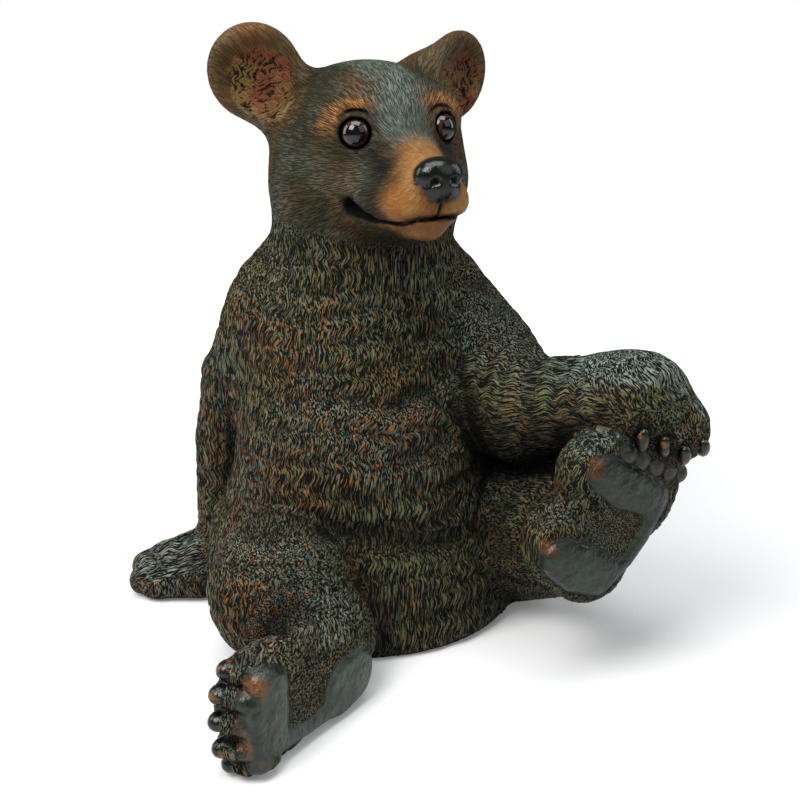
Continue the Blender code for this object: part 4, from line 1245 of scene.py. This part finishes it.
# Paint colours, linear
GROOVE = (0.0016, 0.0027, 0.0016)
OLIVE = (0.124, 0.134, 0.056)
BROWN = (0.148, 0.108, 0.044)
# Blue-grey crests: partly a random tone, partly painted top light
BLUE_GREY = (0.118, 0.156, 0.120)
RUST = (0.290, 0.108, 0.036)
HEAD_OLIVE = (0.026, 0.028, 0.0115)
HEAD_BROWN = (0.038, 0.025, 0.0090)
# Blue-grey of the head, which on the forehead is painted sheen
HEAD_BLUE = (0.128, 0.154, 0.126)
HEAD_RUST = (0.200, 0.085, 0.026)
HEAD_DARK = (0.005, 0.007, 0.004)
TAN = (0.255, 0.102, 0.022)
TAN_LIGHT = (0.380, 0.200, 0.072)
TAN_DARK = (0.100, 0.040, 0.012)
BROW = (0.300, 0.130, 0.034)
BROW_DARK = (0.070, 0.032, 0.012)
LIP = (0.205, 0.088, 0.038)
EAR_RED = (0.160, 0.048, 0.018)
EAR_GOLD = (0.185, 0.118, 0.036)
EAR_DARK = (0.008, 0.006, 0.003)
SOLE = (0.034, 0.052, 0.035)
SOLE_DARK = (0.011, 0.018, 0.011)
STAIN = (0.170, 0.062, 0.016)
CLAW = (0.008, 0.011, 0.008)
NOSE = (0.0056, 0.0068, 0.0046)
# Black of the painted lines, and painted shade in the hollows of the mouth corners and nostrils
INK_AND_HOLE_SHADE = (0.003, 0.0025, 0.002)
# Painted top light: the lit blue-grey of the tops
PAINTED_TOP_LIGHT = (0.260, 0.325, 0.275)


def hair_space(p):
    """Coordinates in which a plain noise becomes hairs that run back from the nose."""
    q, _ = head_part(p)
    q = (q - np.array([0, 0.10, -0.01])) * HEIGHT
    round_way = q * np.array([1, 0, 1])
    radius = np.maximum(np.linalg.norm(round_way, axis=1), 0.004)
    from_nose = np.linalg.norm(q - np.array([0, 0.12, -0.012]), axis=1)
    turns = round_way / radius[:, None]
    return np.stack([turns[:, 0] * 84, turns[:, 2] * 84, from_nose / 0.0085], 1)


def body_shares(p, n, opening, sole):
    """Point values for the paint that depend on place and slope, by name, among them painted top
    light and painted shade.
    """
    q, on_head = head_part(p)
    side, front, up = np.abs(q[:, 0]), q[:, 1], q[:, 2]
    head = smooth(0.50, 1.0, on_head + 0.20 * wander(p, 0.05, 31) * (on_head < 0.999))
    on_ears = head * smooth(0.15, 0.19, np.linalg.norm(q, axis=1))
    on_ears = on_ears * smooth(0.01, 0.06, up) * smooth(0.06, 0.02, front)
    forehead = head * smooth(0.055, 0.030, side) * smooth(-0.02, 0.04, up)
    under_eye = head * smooth(0.04, 0.0, up) * smooth(-0.08, -0.03, up) * smooth(0.02, 0.05, side)
    facing_up = smooth(0.35, 0.95, n[:, 2])
    hands = np.maximum(close(p, LEFT_HAND[0], 0.16), 0.8 * close(p, RIGHT_HAND[0], 0.12))
    warm = np.clip(0.25 + 0.5 * wander(p, 0.25, 21) + 0.4 * smooth(0.1, -0.25, p[:, 0]), 0, 1)
    head_warm = np.clip(0.15 + 0.4 * wander(p, 0.10, 23), 0, 0.5) * (1 - forehead)
    warm = np.clip(np.where(head > 0.5, head_warm, warm) + 0.30 * on_ears, 0, 1)
    warm = warm * np.where(np.any(on_arches(p, (-0.02, 0.03)), axis=0), 0.25, 1.0)
    # Cool blue-grey: a random tone, and painted top light on the faces that look up
    cool = np.clip(0.20 + 0.5 * wander(p, 0.22, 22) + 0.5 * facing_up, 0, 1)
    # On the head: a random tone and a patch under the eyes, and painted sheen on the forehead
    head_cool = np.clip(0.02 + 0.25 * wander(p, 0.09, 24) + 0.85 * forehead + 0.12 * under_eye, 0, 1)
    # Shade beside the muzzle, on the raised sole, under the raised arm and on slopes that face down
    beside = np.exp(-within((side, up), (0.055, -0.005), (0.017, 0.036))) * smooth(0.12, 0.16, front)
    under = close(p, LEFT_FOREARM[0], 0.20) * smooth(0.45, 0.0, n[:, 2]) * (1 - hands)
    opening = opening * (1 - 0.6 * beside * head) * (1 - 0.34 * sole * (p[:, 0] > 0.1))
    opening = opening * (1 - 0.30 * under) * (1 - 0.25 * smooth(0.1, -0.6, n[:, 2]) * (1 - head))
    return {
        "head": head,
        "warm": warm,
        "cool": np.where(head > 0.5, head_cool, cool),
        "drawn": 0.78 - 0.45 * on_ears,
        # Painted top light: a lighter blue-grey on the faces that look up, most on the hands
        "painted_top_light": facing_up * (1 - head) * (0.15 + 0.80 * hands),
        "opening": opening + (1 - opening) * 0.75 * on_ears,
    }


def lightened(bear, places):
    """Brings the mesh down to its number of triangles. Gives the fine point nearest to each left."""
    bear.modifiers.new("triangles", "TRIANGULATE")
    fewer = bear.modifiers.new("fewer", "DECIMATE")
    fewer.ratio = TRIANGLES / (2 * len(bear.data.polygons))
    fewer.use_collapse_triangulate = True
    applied(bear)
    left = np.empty(len(bear.data.vertices) * 3, np.float32)
    bear.data.vertices.foreach_get("co", left)
    return nearest(places, left.reshape(-1, 3))


def bear_piece():
    p, n, quads, opening = bear_mesh()
    sole, gloss, toe, nose, stain = bare_parts(p)
    muzzle, brow, lip, ink = face_paint(p)
    ear, ear_out = ear_part(p)
    bare = np.maximum.reduce([sole, gloss, toe, nose, smooth(0.012, 0.003, p[:, 2])])
    raised, crest, sway, shares, row = coat(p, n, bare, (ear, ear_out))
    # Depth of the skin folds, with which the paint darkens the coat as painted shade
    fold = sum(Groove(points, width, depth)(p) for points, width, depth in FOLDS) / 0.010
    metres = p * HEIGHT + n * raised[:, None]
    metres[:, 2] = np.where(p[:, 2] < 0.0012, 0.0, np.maximum(metres[:, 2], 0.0))
    bear = mesh_object("bear_cast", metres, quads)
    who = lightened(bear, metres)
    values = body_shares(p, n, opening, sole)
    values.update(
        crest=crest, row=row, fold=np.clip(fold, 0, 1), muzzle=muzzle, brow=brow, lip=lip, ink=ink,
        ear=ear, sole=sole, gloss=gloss, toe=toe, nose=nose, stain=stain,
        bare=np.maximum.reduce([bare, 0.55 * muzzle, 0.7 * lip]),
    )
    for i, share in enumerate(shares):
        values[f"lay_{i}"] = share
    for name, v in values.items():
        give(bear, name, v[who])
    for name, v in (("hair", hair_space(p)), ("sway", sway)):
        vectors = bear.data.attributes.new(name, "FLOAT_VECTOR", "POINT")
        vectors.data.foreach_set("vector", v[who].astype(np.float32).ravel())
    faces = bear.data.polygons
    faces.foreach_set("use_smooth", np.ones(len(faces), bool))
    bear.data.materials.append(coat_material("painted_resin", 0.14))
    bear.data.materials.append(coat_material("varnished_resin", 0.36))
    corners = np.empty(len(faces) * 3, np.int32)
    faces.foreach_get("vertices", corners)
    glossy = np.maximum.reduce([gloss, nose, toe, sole])[who][corners.reshape(-1, 3)].mean(1) > 0.5
    faces.foreach_set("material_index", glossy.astype(np.int32))
    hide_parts("bear")
    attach(bear, "root")


def eye_material(name):
    """Dark glass: a black pupil, a reddish-brown iris and a black rim."""
    m = Nodes(name)
    off = m.attribute("off")
    fibre = m.noise(0.0012, 2.0)
    iris = m.mix(m.ramp(fibre, 0.35, 0.65), (0.028, 0.009, 0.006), (0.060, 0.020, 0.013))
    colour = m.mix(m.ramp(off, 0.66, 0.71), (0.003, 0.003, 0.003), iris)
    colour = m.mix(m.ramp(off, 0.82, 0.88), colour, (0.003, 0.002, 0.002))
    m.put(m.shader.inputs["Base Color"], colour)
    m.put(m.shader.inputs["Roughness"], m.ramp(off, 0.9, 1.0, 0.04, 0.10))
    m.shader.inputs["IOR"].default_value = 1.52
    return m.material


def eye_piece(name, node, at, look, rings=48, turns=72):
    """A glass ball with its poles on the line of sight."""
    points = [look[1]]
    faces = []
    for i in range(1, rings):
        a = math.pi * i / rings
        for j in range(turns):
            b = 2 * math.pi * j / turns
            ring = math.cos(b) * look[0] + math.sin(b) * look[2]
            points.append(math.cos(a) * look[1] + math.sin(a) * ring)
    points.append(-look[1])
    last = len(points) - 1
    for j in range(turns):
        k = (j + 1) % turns
        faces.append((0, 1 + k, 1 + j))
        for i in range(rings - 2):
            a, b = 1 + i * turns, 1 + (i + 1) * turns
            faces += [(a + j, a + k, b + k), (a + j, b + k, b + j)]
        a = 1 + (rings - 2) * turns
        faces.append((last, a + j, a + k))
    points, faces = np.array(points), np.array(faces)
    if np.linalg.det(points[faces]).sum() < 0:
        faces = faces[:, ::-1]
    eye = mesh_object(name, at * HEIGHT + points * EYE_BALL, faces)
    off = np.linalg.norm(points - (points @ look[1])[:, None] * look[1], axis=1)
    off = np.where(points @ look[1] > 0, off, 1.0)
    give(eye, "off", off)
    eye.data.polygons.foreach_set("use_smooth", np.ones(len(eye.data.polygons), bool))
    eye.data.materials.append(eye_material(name + "_glass"))
    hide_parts(node)
    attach(eye, "root")


def stage_and_light():
    """A pale floor that fades to white with distance, soft boxes and a pale surround."""
    corners = FLOOR * np.array([(-1, -1, 0), (1, -1, 0), (1, 1, 0), (-1, 1, 0)])
    floor = mesh_object("floor", corners, np.array([(0, 1, 2, 3)]))
    paper = Nodes("paper")
    paper.shader.inputs["Base Color"].default_value = (0.78, 0.78, 0.78, 1.0)
    paper.shader.inputs["Roughness"].default_value = 0.9
    distance = paper.tree.nodes.new("ShaderNodeVectorMath")
    distance.operation = "LENGTH"
    paper.put(distance.inputs[0], paper.place())
    seen = paper.tree.nodes.new("ShaderNodeLightPath").outputs["Is Camera Ray"]
    glow = paper.times(seen, paper.ramp(distance.outputs["Value"], 0.45, 1.6, 0.14, 1.0))
    paper.shader.inputs["Emission Color"].default_value = (1.0, 1.0, 1.0, 1.0)
    paper.put(paper.shader.inputs["Emission Strength"], glow)
    floor.data.materials.append(paper.material)
    target = Vector((0, -0.08, 0.30))
    for name, (turn_to, up, far), size, power, colour in LIGHTS:
        light = bpy.data.lights.new(name, "AREA")
        light.shape = "RECTANGLE"
        light.size, light.size_y = size
        light.energy = power
        light.color = colour
        obj = bpy.data.objects.new(name, light)
        bpy.context.scene.collection.objects.link(obj)
        a, e = math.radians(turn_to), math.radians(up)
        way = Vector((math.sin(a) * math.cos(e), -math.cos(a) * math.cos(e), math.sin(e)))
        obj.location = target + way * far
        obj.rotation_euler = way.to_track_quat("Z", "Y").to_euler()
    world = bpy.data.worlds.new("surround")
    world.use_nodes = True
    world.node_tree.nodes["Background"].inputs[0].default_value = (1.0, 1.0, 1.0, 1.0)
    seen = world.node_tree.nodes.new("ShaderNodeLightPath").outputs["Is Camera Ray"]
    level = world.node_tree.nodes.new("ShaderNodeMapRange")
    level.inputs["To Min"].default_value = SURROUND
    world.node_tree.links.new(seen, level.inputs["Value"])
    world.node_tree.links.new(level.outputs[0], world.node_tree.nodes["Background"].inputs[1])
    bpy.context.scene.world = world


# Azimuth from the bear's front (towards its left), height and distance, size, power, colour
LIGHTS = (
    ("key", (-58, 46, 1.9), (1.0, 1.0), 35, (1.0, 0.985, 0.96)),
    ("fill", (36, 34, 2.0), (1.4, 1.4), 7, (0.95, 0.98, 1.0)),
    ("top", (-20, 82, 1.9), (1.6, 1.1), 30, (0.94, 0.98, 1.0)),
    ("edge_right", (-112, 24, 1.8), (0.7, 1.4), 12, (0.90, 0.96, 1.0)),
    ("edge_left", (82, 24, 1.8), (0.7, 1.4), 8, (0.90, 0.96, 1.0)),
)
SURROUND = 0.08
FLOOR = 30.0
CAMERA_TURN = math.radians(20)
CAMERA_AT = np.array([-0.584, -1.795, 0.908])


def camera():
    data = bpy.data.cameras.new("camera")
    data.lens = 50
    data.sensor_width = 36
    obj = bpy.data.objects.new("camera", data)
    obj.location = CAMERA_AT * HEIGHT
    obj.rotation_euler = (math.radians(74), 0, -CAMERA_TURN)
    bpy.context.scene.collection.objects.link(obj)
    bpy.context.scene.camera = obj


bear_piece()
for eye_side, (eye_at, eye_look) in zip(("right", "left"), eye_frames()):
    eye_piece("glass_" + eye_side, "eye_" + eye_side, eye_at, eye_look)
stage_and_light()
camera()
bpy.context.scene.view_settings.view_transform = "Standard"
